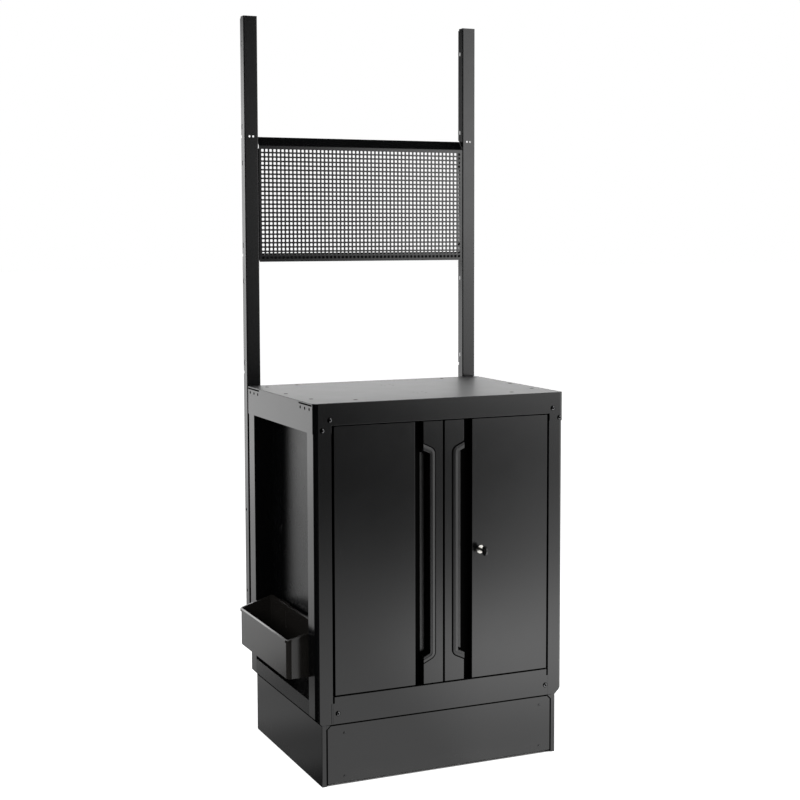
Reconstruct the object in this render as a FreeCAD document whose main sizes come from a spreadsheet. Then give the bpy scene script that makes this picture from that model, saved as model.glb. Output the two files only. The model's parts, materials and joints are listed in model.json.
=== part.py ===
import FreeCAD, Part
import os
import Sketcher

# Base cabinet on an inset plinth, with two doors, a recess and a bin on its left side,
# and a perforated back panel between two uprights.
# Frame: millimetres, +X right, -Y front, +Z up, origin on the floor at the cabinet's centre.

# Driving dimensions
sizes = {
    "width": 720, "depth": 522, "height": 990, "plinth_height": 162,
    "corner_radius": 9.5, "gauge": 1.5, "fit": 0.3, "overrun": 5,
    "bevel": 18,
    # cap frame and worktop
    "cap_side_drop": 77, "cap_front_drop": 57, "cap_header": 30,
    "cap_slot_rise": 2.5, "cap_slot_run": 88, "cap_slot_end": 14, "cap_slot_land": 3,
    "skirt_hole_radius": 2.4, "skirt_hole_pitch": 32.5, "skirt_hole_drop": 16, "skirt_hole_end": 26,
    "dimple_radius": 4.5, "dimple_sink": 0.6,
    "cluster_pitch": 25, "cluster_radius": 2.4, "cluster_set": 110,
    # posts, recess and panels
    "post_left_face": 50, "post_right_face": 42, "post_front_side": 47.5, "post_rear_side": 51,
    "post_rear_face": 44, "post_return": 28, "jamb": 38, "panel_return": 15, "recess_depth": 58,
    "sill_rise": 39, "sill_foot": 12, "post_bend": 8,
    "plug_radius": 12.5, "plug_head": 2, "plug_up": 596, "plug_back": 112, "plug_lip": 1.5,
    "rail_rise": 71.5, "rail_notch": 5, "rail_notch_rise": 17, "rail_flange": 30,
    "floor_up": 215, "floor_rim": 22,
    "bead_width": 30, "bead_depth": 4,
    # shelf
    "shelf_up": 575, "shelf_thick": 25, "shelf_front_gap": 61, "shelf_back_gap": 20,
    "clip_width": 14, "clip_reach": 18, "clip_rise": 10, "clip_gauge": 2, "clip_inset": 50,
    # doors
    "door_gap": 4, "door_side_gap": 6, "door_top_gap": 3, "door_low_gap": 4, "door_set": 1,
    "door_thick": 28, "door_sheet": 1.2, "door_lip": 12, "strip": 57, "channel": 23,
    "channel_depth": 24, "door_edge_radius": 1.3,
    "hinge_inset": 12, "hinge_depth": 12.5, "pin_radius": 4, "pin_reach": 14, "pin_head": 3,
    "bush_radius": 8, "bush_length": 12, "pin_collar": 7,
    # finger grips
    "grip_foot": 52.5, "grip_head": 55, "grip_slope": 17, "grip_reach": 36,
    "grip_width": 18, "grip_raise": 7.5, "grip_land": 6, "grip_edge": 1.2, "grip_wall": 2,
    "grip_floor": 1.4,
    # lock
    "lock_across": 106, "lock_up": 582, "lock_ring_radius": 11, "lock_ring": 3,
    "barrel_radius": 9, "plug_bore": 6, "nut_across": 26, "nut_thick": 5,
    "key_blade_thick": 2.4, "key_blade_wide": 7.5, "key_reach": 22, "key_bow_radius": 12.5,
    "key_bow_thick": 6, "key_stand": 29, "key_hole_radius": 2.5,
    "cam_length": 30, "cam_width": 14, "cam_thick": 2, "stud_throw": 10, "stud_radius": 2,
    "rod_width": 12, "rod_thick": 2.5, "rod_foot": 22, "rod_slot_rise": 8.8, "rod_gap": 2,
    "rod_foot_rise": 15, "guide_wall": 2.5, "guide_rise": 8, "guide_set": 60, "rod_ends": 2,
    "catch_width": 42, "catch_rise": 14, "catch_deep": 22, "catch_set": 42, "catch_lug": 2,
    "catch_tab": 13,
    # plinth
    "plinth_gauge": 2, "plinth_lip": 13, "plinth_set": 3, "cover_gap": 1,
    "cover_up": 7, "cover_cut": 12, "cover_return": 12, "cover_drop": 2,
    "beam_rise": 30, "beam_deep": 25, "tie_width": 40,
    # uprights and perforated panel
    "upright_face": 40, "upright_deep": 30, "upright_gauge": 2, "upright_low": 290,
    "upright_high": 2019, "upright_stand": 6.5, "upright_bend": 2.5, "upright_set": 2,
    "bay_pitch": 330.5, "bay_up": 1499.5, "slot_spread": 230, "slot_rise": 13.5,
    "slot_wide": 7, "slot_back": 21, "notch_rise": 8, "notch_deep": 5, "notch_shift": 188,
    "side_hole_radius": 3.5, "side_hole_low": 400, "side_hole_high": 634,
    "face_hole_radius": 3, "face_hole_spread": 10.7,
    "board_end": 1.5, "board_rise": 327, "board_gauge": 1.5, "board_lip_run": 23,
    "board_lip_rise": 25, "board_side": 29, "board_side_end": 30, "board_hole_radius": 3.5,
    "board_hole_set": 220, "board_screw_radius": 2.7, "board_screw_head": 5,
    "board_screw_rise": 4, "board_screw_end": 5,
    "bolt_radius": 4, "bolt_head_radius": 7, "bolt_head": 5, "bolt_low": 420, "bolt_drop": 120,
    "bolt_end": 8, "spacer_radius": 10,
    # side bin
    "bin_out": 50, "bin_in": 43, "bin_length": 390, "bin_low": 275, "bin_rise": 101,
    "bin_back_rise": 128, "bin_wall": 2.5, "bin_round": 12, "bin_back_round": 5,
    "bin_rim": 3, "bin_rim_rise": 6,
    "hook_thick": 2, "hook_width": 60, "hook_spread": 200, "hook_drop": 24, "hook_back": 5,
    "hanger_thick": 2, "hanger_length": 320, "hanger_lip": 22, "hanger_foot": 24,
    "hanger_stand": 11,
}

document = FreeCAD.newDocument("BaseCabinet")
sheet = document.addObject("Spreadsheet::Sheet", "Sizes")
for row, (name, number) in enumerate(sizes.items(), start=1):
    sheet.set(f"A{row}", name)
    sheet.set(f"B{row}", str(number))
    sheet.setAlias(f"B{row}", name)
document.recompute()

tolerance = 0.001


# A length that carries its number and the formula that binds it to the sheet
class Size:
    def __init__(self, value, text):
        self.value = float(value)
        self.text = text

    def __add__(self, other):
        other = length(other)
        return Size(self.value + other.value, f"({self.text} + {other.text})")

    def __sub__(self, other):
        other = length(other)
        return Size(self.value - other.value, f"({self.text} - {other.text})")

    def __mul__(self, factor):
        return Size(self.value * factor, f"({self.text} * {factor})")

    def __truediv__(self, factor):
        return Size(self.value / factor, f"({self.text} / {factor})")

    def __neg__(self):
        return Size(-self.value, f"(0 - {self.text})")

    __radd__ = __add__
    __rmul__ = __mul__


def length(item):
    return item if isinstance(item, Size) else Size(item, str(item))


def size(name):
    return Size(getattr(sheet, name), f"Sizes.{name}")


class Circle:
    def __init__(self, across, up, radius):
        self.across = length(across)
        self.up = length(up)
        self.radius = radius


# Places shared by several pieces
half_width = size("width") / 2
half_depth = size("depth") / 2
height = size("height")
gauge = size("gauge")
fit = size("fit")
overrun = size("overrun")
plinth_top = size("plinth_height")
inset = gauge + fit
post_left = -half_width + inset
post_right = half_width - inset
post_front = -half_depth + inset
post_back = half_depth - inset
opening_left = -half_width + size("post_left_face")
opening_right = half_width - size("post_right_face")
middle = (opening_left + opening_right) / 2
opening_top = height - size("cap_front_drop")
cap_low = height - size("cap_side_drop")
cap_top = height - gauge
recess_face = -half_width + size("recess_depth")
inner_right = post_right - size("bevel") - fit
recess_front = -half_depth + size("post_front_side")
recess_back = half_depth - size("post_rear_side")
rail_top = plinth_top + size("rail_rise")
door_front = -half_depth + size("door_set")
door_low = rail_top + size("door_low_gap")
door_high = opening_top - size("door_top_gap")
door_near = size("door_gap") / 2
door_far = (opening_right - opening_left) / 2 - size("door_side_gap")
door_sheet = size("door_sheet")
liner_front = door_front + size("door_thick") - door_sheet * 2 - fit
liner_back = liner_front + door_sheet
hinge_across = door_far - size("hinge_inset")
hinge_along = door_front + size("hinge_depth")
upright_front = half_depth + size("upright_stand")
sill_high = plinth_top + size("bevel") + size("sill_rise")
grip_low = door_low + size("grip_foot")
grip_high = door_high - size("grip_head")
bolt_levels = [size("bolt_low"), height - size("bolt_drop")]
board_half = half_width - size("upright_set") - size("upright_face") - size("board_end")


def origin_plane(body, role):
    for feature in body.Origin.OriginFeatures:
        if feature.Role == role:
            return feature
    raise RuntimeError(role)


def pin_point(made, geometry, point, across, up):
    for kind, at in (("DistanceX", across), ("DistanceY", up)):
        number = made.addConstraint(Sketcher.Constraint(kind, -1, 1, geometry, point, at.value))
        made.setExpression(f"Constraints[{number}]", at.text)


# A third entry at a point makes the stretch to the next point an arc of that radius, turning left
def draw_polygon(made, points):
    first = made.GeometryCount
    corners = [[length(item) for item in point] for point in points]
    ends = corners[1:] + corners[:1]
    upright = FreeCAD.Vector(0, 0, 1)
    stretches = []
    for corner, follower in zip(corners, ends):
        start = FreeCAD.Vector(corner[0].value, corner[1].value, 0)
        end = FreeCAD.Vector(follower[0].value, follower[1].value, 0)
        stretch = Part.LineSegment(start, end)
        if len(corner) > 2:
            radius = corner[2].value
            half = (end - start) / 2
            reach = max(radius ** 2 - half.Length ** 2, 0) ** 0.5
            left = upright.cross(half).normalize()
            centre = start + half + left * reach
            circle = Part.Circle(centre, upright, radius)
            stretch = Part.ArcOfCircle(circle, circle.parameter(start), circle.parameter(end))
        stretches.append(stretch)
    made.addGeometry(stretches, False)
    for index in range(len(corners)):
        follower = first + (index + 1) % len(corners)
        made.addConstraint(Sketcher.Constraint("Coincident", first + index, 2, follower, 1))
    for index, corner in enumerate(corners):
        pin_point(made, first + index, 1, corner[0], corner[1])
        if len(corner) > 2:
            number = made.addConstraint(Sketcher.Constraint("Radius", first + index, corner[2].value))
            made.setExpression(f"Constraints[{number}]", corner[2].text)


def draw_circle(made, circle):
    centre = FreeCAD.Vector(circle.across.value, circle.up.value, 0)
    number = made.addGeometry(Part.Circle(centre, FreeCAD.Vector(0, 0, 1), circle.radius.value), False)
    pin_point(made, number, 3, circle.across, circle.up)
    radius = made.addConstraint(Sketcher.Constraint("Radius", number, circle.radius.value))
    made.setExpression(f"Constraints[{radius}]", circle.radius.text)


def draw(body, role, offset, shapes):
    made = body.newObject("Sketcher::SketchObject", body.Name + "Sketch")
    made.AttachmentSupport = [(origin_plane(body, role), "")]
    made.MapMode = "FlatFace"
    made.setExpression("AttachmentOffset.Base.z", length(offset).text)
    for shape in shapes:
        if isinstance(shape, Circle):
            draw_circle(made, shape)
        else:
            draw_polygon(made, shape)
    return made


def new_body(name):
    body = document.addObject("PartDesign::Body", name)
    body.Label = name
    return body


# The XZ plane looks along +Y, so its sketches are offset and padded towards -Y
def add(body, role, low, high, *shapes):
    low, high = length(low), length(high)
    offset = -high if role == "XZ_Plane" else low
    feature = body.newObject("PartDesign::Pad", body.Name + "Pad")
    feature.Profile = draw(body, role, offset, shapes)
    feature.setExpression("Length", (high - low).text)
    return feature


def cut(body, role, low, high, *shapes):
    low, high = length(low), length(high)
    offset = -low if role == "XZ_Plane" else high
    feature = body.newObject("PartDesign::Pocket", body.Name + "Pocket")
    feature.Profile = draw(body, role, offset, shapes)
    feature.setExpression("Length", (high - low).text)
    return feature


def box(left, low, right, high):
    return [(left, low), (right, low), (right, high), (left, high)]


def rounded_box(left, low, right, high, left_round, right_round):
    return [(left + left_round, low), (right - right_round, low, right_round),
            (right, low + right_round), (right, high - right_round, right_round),
            (right - right_round, high), (left + left_round, high, left_round),
            (left, high - left_round), (left, low + left_round, left_round)]


# Straight edges along one axis at two given places, such as ("z", x, y)
def find_edges(shape, axis, places):
    others = {"x": ("y", "z"), "y": ("x", "z"), "z": ("x", "y")}[axis]
    names = []
    for number, edge in enumerate(shape.Edges, start=1):
        ends = [vertex.Point for vertex in edge.Vertexes]
        if len(ends) < 2 or abs(getattr(ends[0], axis) - getattr(ends[1], axis)) < tolerance:
            continue
        for place in places:
            spots = [length(value).value for value in place]
            if all(abs(getattr(end, other) - spot) < tolerance
                   for end in ends for other, spot in zip(others, spots)):
                names.append(f"Edge{number}")
    return names


def round_edges(body, axis, radius, places):
    document.recompute()
    base = body.Tip
    names = find_edges(base.Shape, axis, places)
    feature = body.newObject("PartDesign::Fillet", body.Name + "Fillet")
    feature.Base = (base, names)
    feature.setExpression("Radius", radius.text)
    return feature


# Outline of a folded sheet: an outer path and its copy set in to one side by the sheet's thickness
def folded(path, thick, side):
    points = [(length(across), length(up)) for across, up in path]
    normals = []
    for start, end in zip(points, points[1:]):
        run = end[0].value - start[0].value
        rise = end[1].value - start[1].value
        reach = (run ** 2 + rise ** 2) ** 0.5
        normals.append((-rise / reach * side, run / reach * side))
    inner = []
    for index, (across, up) in enumerate(points):
        before = normals[max(index - 1, 0)]
        after = normals[min(index, len(normals) - 1)]
        share = 1 + before[0] * after[0] + before[1] * after[1]
        shift = [round((before[part] + after[part]) / share, 6) for part in (0, 1)]
        inner.append((across + thick * shift[0], up + thick * shift[1]))
    return points + inner[::-1]


# Plinth: two side pans, a back, a front cover and the beam that carries the cover
def plinth_face():
    return half_width - size("bevel") - inset


def make_plinth_side(name, side):
    lip = size("plinth_lip")
    thick = size("plinth_gauge")
    outer = plinth_face() * side
    inner = (plinth_face() - lip) * side
    wall = (plinth_face() - thick) * side
    low, high = (outer, inner) if side < 0 else (inner, outer)
    front = -half_depth + size("plinth_set")
    body = new_body(name)
    add(body, "YZ_Plane", low, high, box(front, 0, half_depth, plinth_top))
    field = box(front + thick, thick, half_depth - thick, plinth_top - thick)
    start, stop = (wall, inner + overrun) if side < 0 else (inner - overrun, wall)
    cut(body, "YZ_Plane", start, stop, field)
    return body


def make_plinth_back():
    thick = size("plinth_gauge")
    across = plinth_face() - size("plinth_lip") - fit
    body = new_body("plinth_back")
    path = [(half_depth - size("plinth_lip"), 0), (half_depth, 0),
            (half_depth, plinth_top), (half_depth - size("plinth_lip"), plinth_top)]
    add(body, "YZ_Plane", -across, across, folded(path, thick, 1))
    return body


def make_plinth_cover():
    thick = size("plinth_gauge")
    across = plinth_face() - size("plinth_lip") - size("cover_gap")
    high = plinth_top - size("cover_drop")
    low = size("cover_up")
    corner = size("cover_cut")
    front = -half_depth + size("plinth_set")
    body = new_body("plinth_cover")
    outline = [(-across, low), (across, low), (across, high - corner), (across - corner, high),
               (corner - across, high), (-across, high - corner)]
    add(body, "XZ_Plane", front, front + thick, outline)
    edge = across - corner
    add(body, "XZ_Plane", front + thick, front + size("cover_return"),
        box(-edge, high - thick, edge, high))
    add(body, "XZ_Plane", front + thick, front + size("cover_return"),
        box(-edge, low, edge, low + thick))
    return body


def make_plinth_beam():
    thick = size("plinth_gauge")
    across = plinth_face() - thick
    front = -half_depth + size("plinth_set") + size("cover_return") + fit
    path = [(front + size("beam_deep"), plinth_top - size("beam_rise")),
            (front, plinth_top - size("beam_rise")), (front, plinth_top),
            (front + size("beam_deep"), plinth_top)]
    body = new_body("plinth_beam")
    inner = across - size("plinth_lip") + thick - fit
    add(body, "YZ_Plane", -inner, inner, folded(path, thick, -1))
    return body


# Flat tie on the floor between the plinth's sides
def make_plinth_tie():
    across = plinth_face() - size("plinth_lip") - fit
    half = size("tie_width") / 2
    body = new_body("plinth_tie")
    add(body, "XY_Plane", 0, size("plinth_gauge"), box(-across, -half, across, half))
    return body


# Wedge that bevels the lower side edges of the cabinet
def cut_bevel(body, side):
    face = post_left if side < 0 else post_right
    edge = size("bevel")
    far = face + overrun * side
    inner = face - edge * side
    wedge = [(far, plinth_top + edge + overrun), (far, plinth_top - overrun),
             (inner - overrun * side, plinth_top - overrun)]
    cut(body, "XZ_Plane", -half_depth, half_depth, wedge)


# Corner posts: sheet folded round the corner, open towards the inside of the cabinet
def make_post(name, path, side, corner, bends):
    body = new_body(name)
    add(body, "XY_Plane", plinth_top, cap_top, folded(path, gauge, side))
    round_edges(body, "z", size("post_bend") - gauge, [bends])
    round_edges(body, "z", size("post_bend"), [corner])
    return body


def make_post_front_left():
    path = [(opening_left, post_front + size("jamb")), (opening_left, post_front),
            (post_left, post_front), (post_left, recess_front), (recess_face, recess_front)]
    body = make_post("post_front_left", path, -1, (post_left, post_front),
                     (post_left + gauge, post_front + gauge))
    cut_bevel(body, -1)
    return body


def make_post_rear_left():
    lip = recess_face - gauge
    path = [(lip, recess_back - size("post_return")), (lip, recess_back),
            (post_left, recess_back), (post_left, post_back),
            (-half_width + size("post_rear_face"), post_back),
            (-half_width + size("post_rear_face"), post_back - size("panel_return"))]
    body = make_post("post_rear_left", path, -1, (post_left, post_back),
                     (post_left + gauge, post_back - gauge))
    cut_bevel(body, -1)
    cut_bolt_holes(body, -1, post_back - gauge - overrun, post_back + overrun)
    # The return on the recess's wall stands clear of the sill and of the recess's head
    near = recess_back - size("post_return") - overrun
    for low, high in ((plinth_top - overrun, sill_high + fit), (cap_low - fit, cap_top + overrun)):
        cut(body, "XY_Plane", low, high, box(lip - overrun, near, recess_face + fit, recess_back))
    return body


def make_post_front_right():
    path = [(opening_right, post_front + size("jamb")), (opening_right, post_front),
            (post_right, post_front), (post_right, recess_front),
            (post_right - size("panel_return"), recess_front)]
    body = make_post("post_front_right", path, 1, (post_right, post_front),
                     (post_right - gauge, post_front + gauge))
    cut_bevel(body, 1)
    return body


def make_post_rear_right():
    path = [(post_right - size("panel_return"), recess_back), (post_right, recess_back),
            (post_right, post_back), (half_width - size("post_rear_face"), post_back),
            (half_width - size("post_rear_face"), post_back - size("panel_return"))]
    body = make_post("post_rear_right", path, 1, (post_right, post_back),
                     (post_right - gauge, post_back - gauge))
    cut_bevel(body, 1)
    cut_bolt_holes(body, 1, post_back - gauge - overrun, post_back + overrun)
    return body


def upright_middle(side):
    return (half_width - size("upright_set") - size("upright_face") / 2) * side


def cut_bolt_holes(body, side, low, high):
    holes = [Circle(upright_middle(side), up, size("bolt_radius") + fit) for up in bolt_levels]
    cut(body, "XZ_Plane", low, high, *holes)


def make_sill():
    edge = size("bevel")
    path = [(recess_face, sill_high), (post_left, sill_high), (post_left, plinth_top + edge),
            (post_left + edge, plinth_top), (post_left + edge + size("sill_foot"), plinth_top)]
    body = new_body("recess_sill")
    add(body, "XZ_Plane", recess_front, recess_back, folded(path, gauge, 1))
    return body


def make_recess_head():
    low = cap_low
    body = new_body("recess_head")
    path = [(post_left, low + size("panel_return")), (post_left, low),
            (recess_face, low), (recess_face, low + size("panel_return"))]
    add(body, "XZ_Plane", recess_front + fit, recess_back - fit, folded(path, gauge, 1))
    return body


def clip_spots():
    front = shelf_front() + size("clip_inset")
    back = shelf_back() - size("clip_inset")
    return [front, back]


def cut_clip_holes(body, low, high):
    top = size("shelf_up") - size("shelf_thick")
    for middle_along in clip_spots():
        half = size("clip_width") / 2 + fit
        cut(body, "YZ_Plane", low, high,
            box(middle_along - half, top - size("clip_rise") - fit,
                middle_along + half, top - size("clip_rise") + size("clip_gauge") + fit))


def make_recess_wall():
    front = post_front + size("jamb") - gauge * 2
    back = post_back - gauge - fit
    body = new_body("recess_wall")
    low = plinth_top + gauge + fit * 2
    high = cap_top - gauge - fit * 2
    path = [(opening_left + gauge + fit, front), (recess_face, front), (recess_face, back)]
    add(body, "XY_Plane", low, high, folded(path, gauge, -1))
    cut(body, "YZ_Plane", recess_face - overrun, recess_face + gauge + overrun,
        Circle(half_depth - size("plug_back"), size("plug_up"), size("plug_radius") - size("plug_lip")))
    cut_clip_holes(body, recess_face - overrun, recess_face + gauge + overrun)
    return body


def make_wall_plug():
    body = new_body("wall_plug")
    along = half_depth - size("plug_back")
    up = size("plug_up")
    add(body, "YZ_Plane", recess_face - size("plug_head"), recess_face,
        Circle(along, up, size("plug_radius")))
    neck = size("plug_radius") - size("plug_lip") - fit
    add(body, "YZ_Plane", recess_face, recess_face + gauge, Circle(along, up, neck))
    return body


def make_side_panel():
    body = new_body("side_panel_right")
    low, high = plinth_top + fit, cap_top - fit
    front, back = recess_front + fit, recess_back - fit
    deep = size("panel_return")
    add(body, "YZ_Plane", post_right - deep, post_right, box(front, low, back, high))
    cut(body, "YZ_Plane", post_right - deep - overrun, post_right - gauge,
        box(front + gauge, low + gauge, back - gauge, high - gauge))
    cut_bevel(body, 1)
    edge = size("bevel")
    bottom = [(post_right, plinth_top + edge), (post_right - gauge, plinth_top + edge),
              (post_right - edge, plinth_top + gauge + fit), (post_right - edge, plinth_top + fit)]
    add(body, "XZ_Plane", front, back, bottom)
    return body


# Places of the back panel's beads, as shares of half its width
bead_shares = (-0.5, 0.5)


def make_back_panel():
    body = new_body("back_panel")
    across = half_width - size("post_rear_face") - fit
    low, high = plinth_top + fit, cap_top - fit
    deep = size("panel_return")
    add(body, "XZ_Plane", post_back - deep, post_back, box(-across, low, across, high))
    cut(body, "XZ_Plane", post_back - deep - overrun, post_back - gauge,
        box(gauge - across, low + gauge, across - gauge, high - gauge))
    half = size("bead_width") / 2
    end = size("bead_width") * 2
    for share in bead_shares:
        centre = across * share
        bead = box(centre - half, low + end, centre + half, high - end)
        cut(body, "XZ_Plane", post_back - gauge / 2, post_back + overrun, bead)
        add(body, "XZ_Plane", post_back - size("bead_depth"), post_back - gauge / 2, bead)
    return body


def make_bottom_rail():
    left, right = opening_left, opening_right
    high = rail_top
    deep = size("rail_flange")
    body = new_body("bottom_rail")
    path = [(post_front + deep, plinth_top), (post_front, plinth_top), (post_front, high),
            (post_front + deep, high)]
    add(body, "YZ_Plane", left + fit, right - fit, folded(path, gauge, -1))
    notch = size("rail_notch")
    low = high - size("rail_notch_rise")
    for edge, side in ((left, 1), (right, -1)):
        outer = edge - overrun * side
        inner = edge + notch * side
        corner = box(outer, low, inner, high + overrun)
        cut(body, "XZ_Plane", post_front - overrun, post_front + gauge + overrun, corner)
    holes = [Circle(middle + hinge_across * side, hinge_along, size("pin_radius") + fit)
             for side in (-1, 1)]
    cut(body, "XY_Plane", high - gauge - overrun, high + overrun, *holes)
    return body


def make_floor_pan():
    body = new_body("floor_pan")
    high = size("floor_up")
    left = recess_face + gauge + fit
    right = inner_right
    front = post_front + size("jamb") + fit
    back = post_back - size("panel_return") - fit
    low = high - size("floor_rim")
    add(body, "XY_Plane", low, high, box(left, front, right, back))
    cut(body, "XY_Plane", low - overrun, high - gauge,
        box(left + gauge, front + gauge, right - gauge, back - gauge))
    return body


# Cap frame: a rounded skirt with ears over the posts and a header above the doors
def make_cap_frame():
    body = new_body("cap_frame")
    add(body, "XY_Plane", cap_low, cap_top, box(-half_width, -half_depth, half_width, half_depth))
    cut(body, "XY_Plane", cap_low - overrun, cap_top + overrun,
        box(gauge - half_width, gauge - half_depth, half_width - gauge, half_depth - gauge))
    inner = [((half_width - gauge) * across, (half_depth - gauge) * along)
             for across in (-1, 1) for along in (-1, 1)]
    round_edges(body, "z", size("corner_radius") - gauge, inner)
    corners = [(half_width * across, half_depth * along) for across in (-1, 1) for along in (-1, 1)]
    round_edges(body, "z", size("corner_radius"), corners)
    cut(body, "XZ_Plane", -half_depth - overrun, -half_depth + gauge + overrun,
        box(opening_left, cap_low - overrun, opening_right, opening_top))
    add(body, "XY_Plane", opening_top, opening_top + gauge,
        box(opening_left, -half_depth + gauge / 2, opening_right, size("cap_header") - half_depth))
    holes = [Circle(middle + hinge_across * side, hinge_along, size("pin_radius") + fit)
             for side in (-1, 1)]
    cut(body, "XY_Plane", opening_top - overrun, opening_top + gauge + overrun, *holes)
    slot_top = cap_top - size("cap_slot_land")
    slot_low = slot_top - size("cap_slot_rise")
    reach = half_depth - size("cap_slot_end")
    run = size("cap_slot_run")
    slots = [box(-reach, slot_low, run - reach, slot_top), box(reach - run, slot_low, reach, slot_top)]
    spots = [size("skirt_hole_end") + size("skirt_hole_pitch") * step for step in range(3)]
    for spot in spots:
        for side in (-1, 1):
            slots.append(Circle((half_depth - spot) * side, height - size("skirt_hole_drop"),
                                size("skirt_hole_radius")))
    for low, high in ((-half_width - overrun, gauge - half_width + overrun),
                      (half_width - gauge - overrun, half_width + overrun)):
        cut(body, "YZ_Plane", low, high, *slots)
    return body


# Places of the worktop's dimples, as shares of half the width and half the depth
dimple_shares = ((0.9, 0.79), (0.94, 0.04), (0.9, -0.55), (0.63, 0.88), (0.63, -0.8))


def make_worktop():
    body = new_body("worktop")
    add(body, "XY_Plane", cap_top, height, box(-half_width, -half_depth, half_width, half_depth))
    corners = [(half_width * across, half_depth * along) for across in (-1, 1) for along in (-1, 1)]
    round_edges(body, "z", size("corner_radius"), corners)
    dimples = [Circle(middle + half_width * across * side, half_depth * along, size("dimple_radius"))
               for across, along in dimple_shares for side in (-1, 1)]
    cut(body, "XY_Plane", height - size("dimple_sink"), height + overrun, *dimples)
    half = size("cluster_pitch") / 2
    holes = [Circle(middle + half * across, size("cluster_set") * row + half * along,
                    size("cluster_radius"))
             for row in (-1, 1) for across in (-1, 1) for along in (-1, 1)]
    cut(body, "XY_Plane", cap_top - overrun, height + overrun, *holes)
    return body


def shelf_front():
    return -half_depth + size("shelf_front_gap")


def shelf_back():
    return half_depth - size("shelf_back_gap")


def make_shelf():
    body = new_body("shelf")
    left = recess_face + gauge + fit
    right = inner_right
    high = size("shelf_up")
    low = high - size("shelf_thick")
    add(body, "XY_Plane", low, high, box(left, shelf_front(), right, shelf_back()))
    cut(body, "XY_Plane", low - overrun, high - gauge,
        box(left + gauge, shelf_front() + gauge, right - gauge, shelf_back() - gauge))
    return body


def make_shelf_clip(name, side, along):
    body = new_body(name)
    wall = recess_face + gauge if side < 0 else post_right - gauge
    thick = size("clip_gauge")
    top = size("shelf_up") - size("shelf_thick")
    inward = -side
    reach = size("clip_reach") if side < 0 else size("clip_reach") + size("bevel")
    path = [(wall + thick * inward, top - size("clip_rise")), (wall + thick * inward, top),
            (wall + reach * inward, top)]
    half = size("clip_width") / 2
    add(body, "XZ_Plane", along - half, along + half, folded(path, thick, side))
    foot = top - size("clip_rise")
    left, right = (wall - gauge, wall + thick * 2) if side < 0 else (wall - thick * 2, wall)
    add(body, "XZ_Plane", along - half, along + half, box(left, foot, right, foot + thick))
    return body


# Doors, in a plan of their own: u runs from the middle gap outwards, v from the front inwards
def door_point(side, outward, inward):
    return (middle + length(outward) * side, door_front + length(inward))


def door_box(side, near, front, far, back):
    return [door_point(side, near, front), door_point(side, far, front),
            door_point(side, far, back), door_point(side, near, back)]


def door_across(side, outward):
    return middle + length(outward) * side


def span(side, near, far):
    ends = [door_across(side, near), door_across(side, far)]
    return sorted(ends, key=lambda item: item.value)


def make_door_skin(name, side):
    thick = size("door_thick")
    lip = size("door_lip")
    strip_end = door_near + size("strip")
    channel_end = strip_end + size("channel")
    deep = size("channel_depth")
    path = [(door_far - lip, thick), (door_far, thick), (door_far, 0), (channel_end, 0),
            (channel_end, deep), (strip_end, deep), (strip_end, 0), (door_near, 0),
            (door_near, thick), (door_near + lip, thick)]
    body = new_body(name)
    plan = folded([door_point(side, *point) for point in path], door_sheet, -side)
    add(body, "XY_Plane", door_low, door_high, plan)
    end = [(door_far, thick), (door_far, 0), (channel_end, 0), (channel_end, deep),
           (strip_end, deep), (strip_end, 0), (door_near, 0), (door_near, thick)]
    cap = [door_point(side, *point) for point in end]
    add(body, "XY_Plane", door_low, door_low + door_sheet, cap)
    add(body, "XY_Plane", door_high - door_sheet, door_high, cap)
    for low, high in ((door_low, door_low + lip), (door_high - lip, door_high)):
        left, right = span(side, door_near, door_far)
        add(body, "XZ_Plane", door_front + thick - door_sheet, door_front + thick,
            box(left, low, right, high))
    bush = Circle(*door_point(side, hinge_across, size("hinge_depth")), size("bush_radius"))
    for low, high in ((door_low, door_low + size("bush_length")),
                      (door_high - size("bush_length"), door_high)):
        add(body, "XY_Plane", low, high, bush)
    fronts = [(door_across(side, door_far), door_front), (door_across(side, channel_end), door_front),
              (door_across(side, strip_end), door_front), (door_across(side, door_near), door_front)]
    round_edges(body, "z", size("door_edge_radius"), fronts)
    bore = Circle(*door_point(side, hinge_across, size("hinge_depth")), size("pin_radius") + fit)
    for low, high in ((door_low - overrun, door_low + size("pin_reach") + overrun),
                      (door_high - size("pin_reach") - overrun, door_high + overrun)):
        cut(body, "XY_Plane", low, high, bore)
    cut(body, "XZ_Plane", door_front - overrun, door_front + deep,
        grip_outline(side, size("grip_width") - size("grip_wall") - fit, strip_end + door_sheet + fit))
    if side > 0:
        cut(body, "XZ_Plane", door_front - overrun, door_front + door_sheet + overrun,
            Circle(lock_across(), size("lock_up"), size("barrel_radius") + fit))
    return body


# The grip's outline in front view, set in from the seam with the strip
def grip_outline(side, inset_by, reach):
    seam = door_near + size("strip") - size("grip_reach") + inset_by
    outer = door_near + size("strip")
    slope = size("grip_slope") / size("grip_reach").value
    low_outer = grip_low + inset_by
    high_outer = grip_high - inset_by
    run = (outer - seam).value
    past = (reach - outer).value
    points = [(reach, low_outer - slope * past), (reach, high_outer + slope * past),
              (seam, high_outer - slope * run), (seam, low_outer + slope * run)]
    return [(door_across(side, across), up) for across, up in points]


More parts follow.
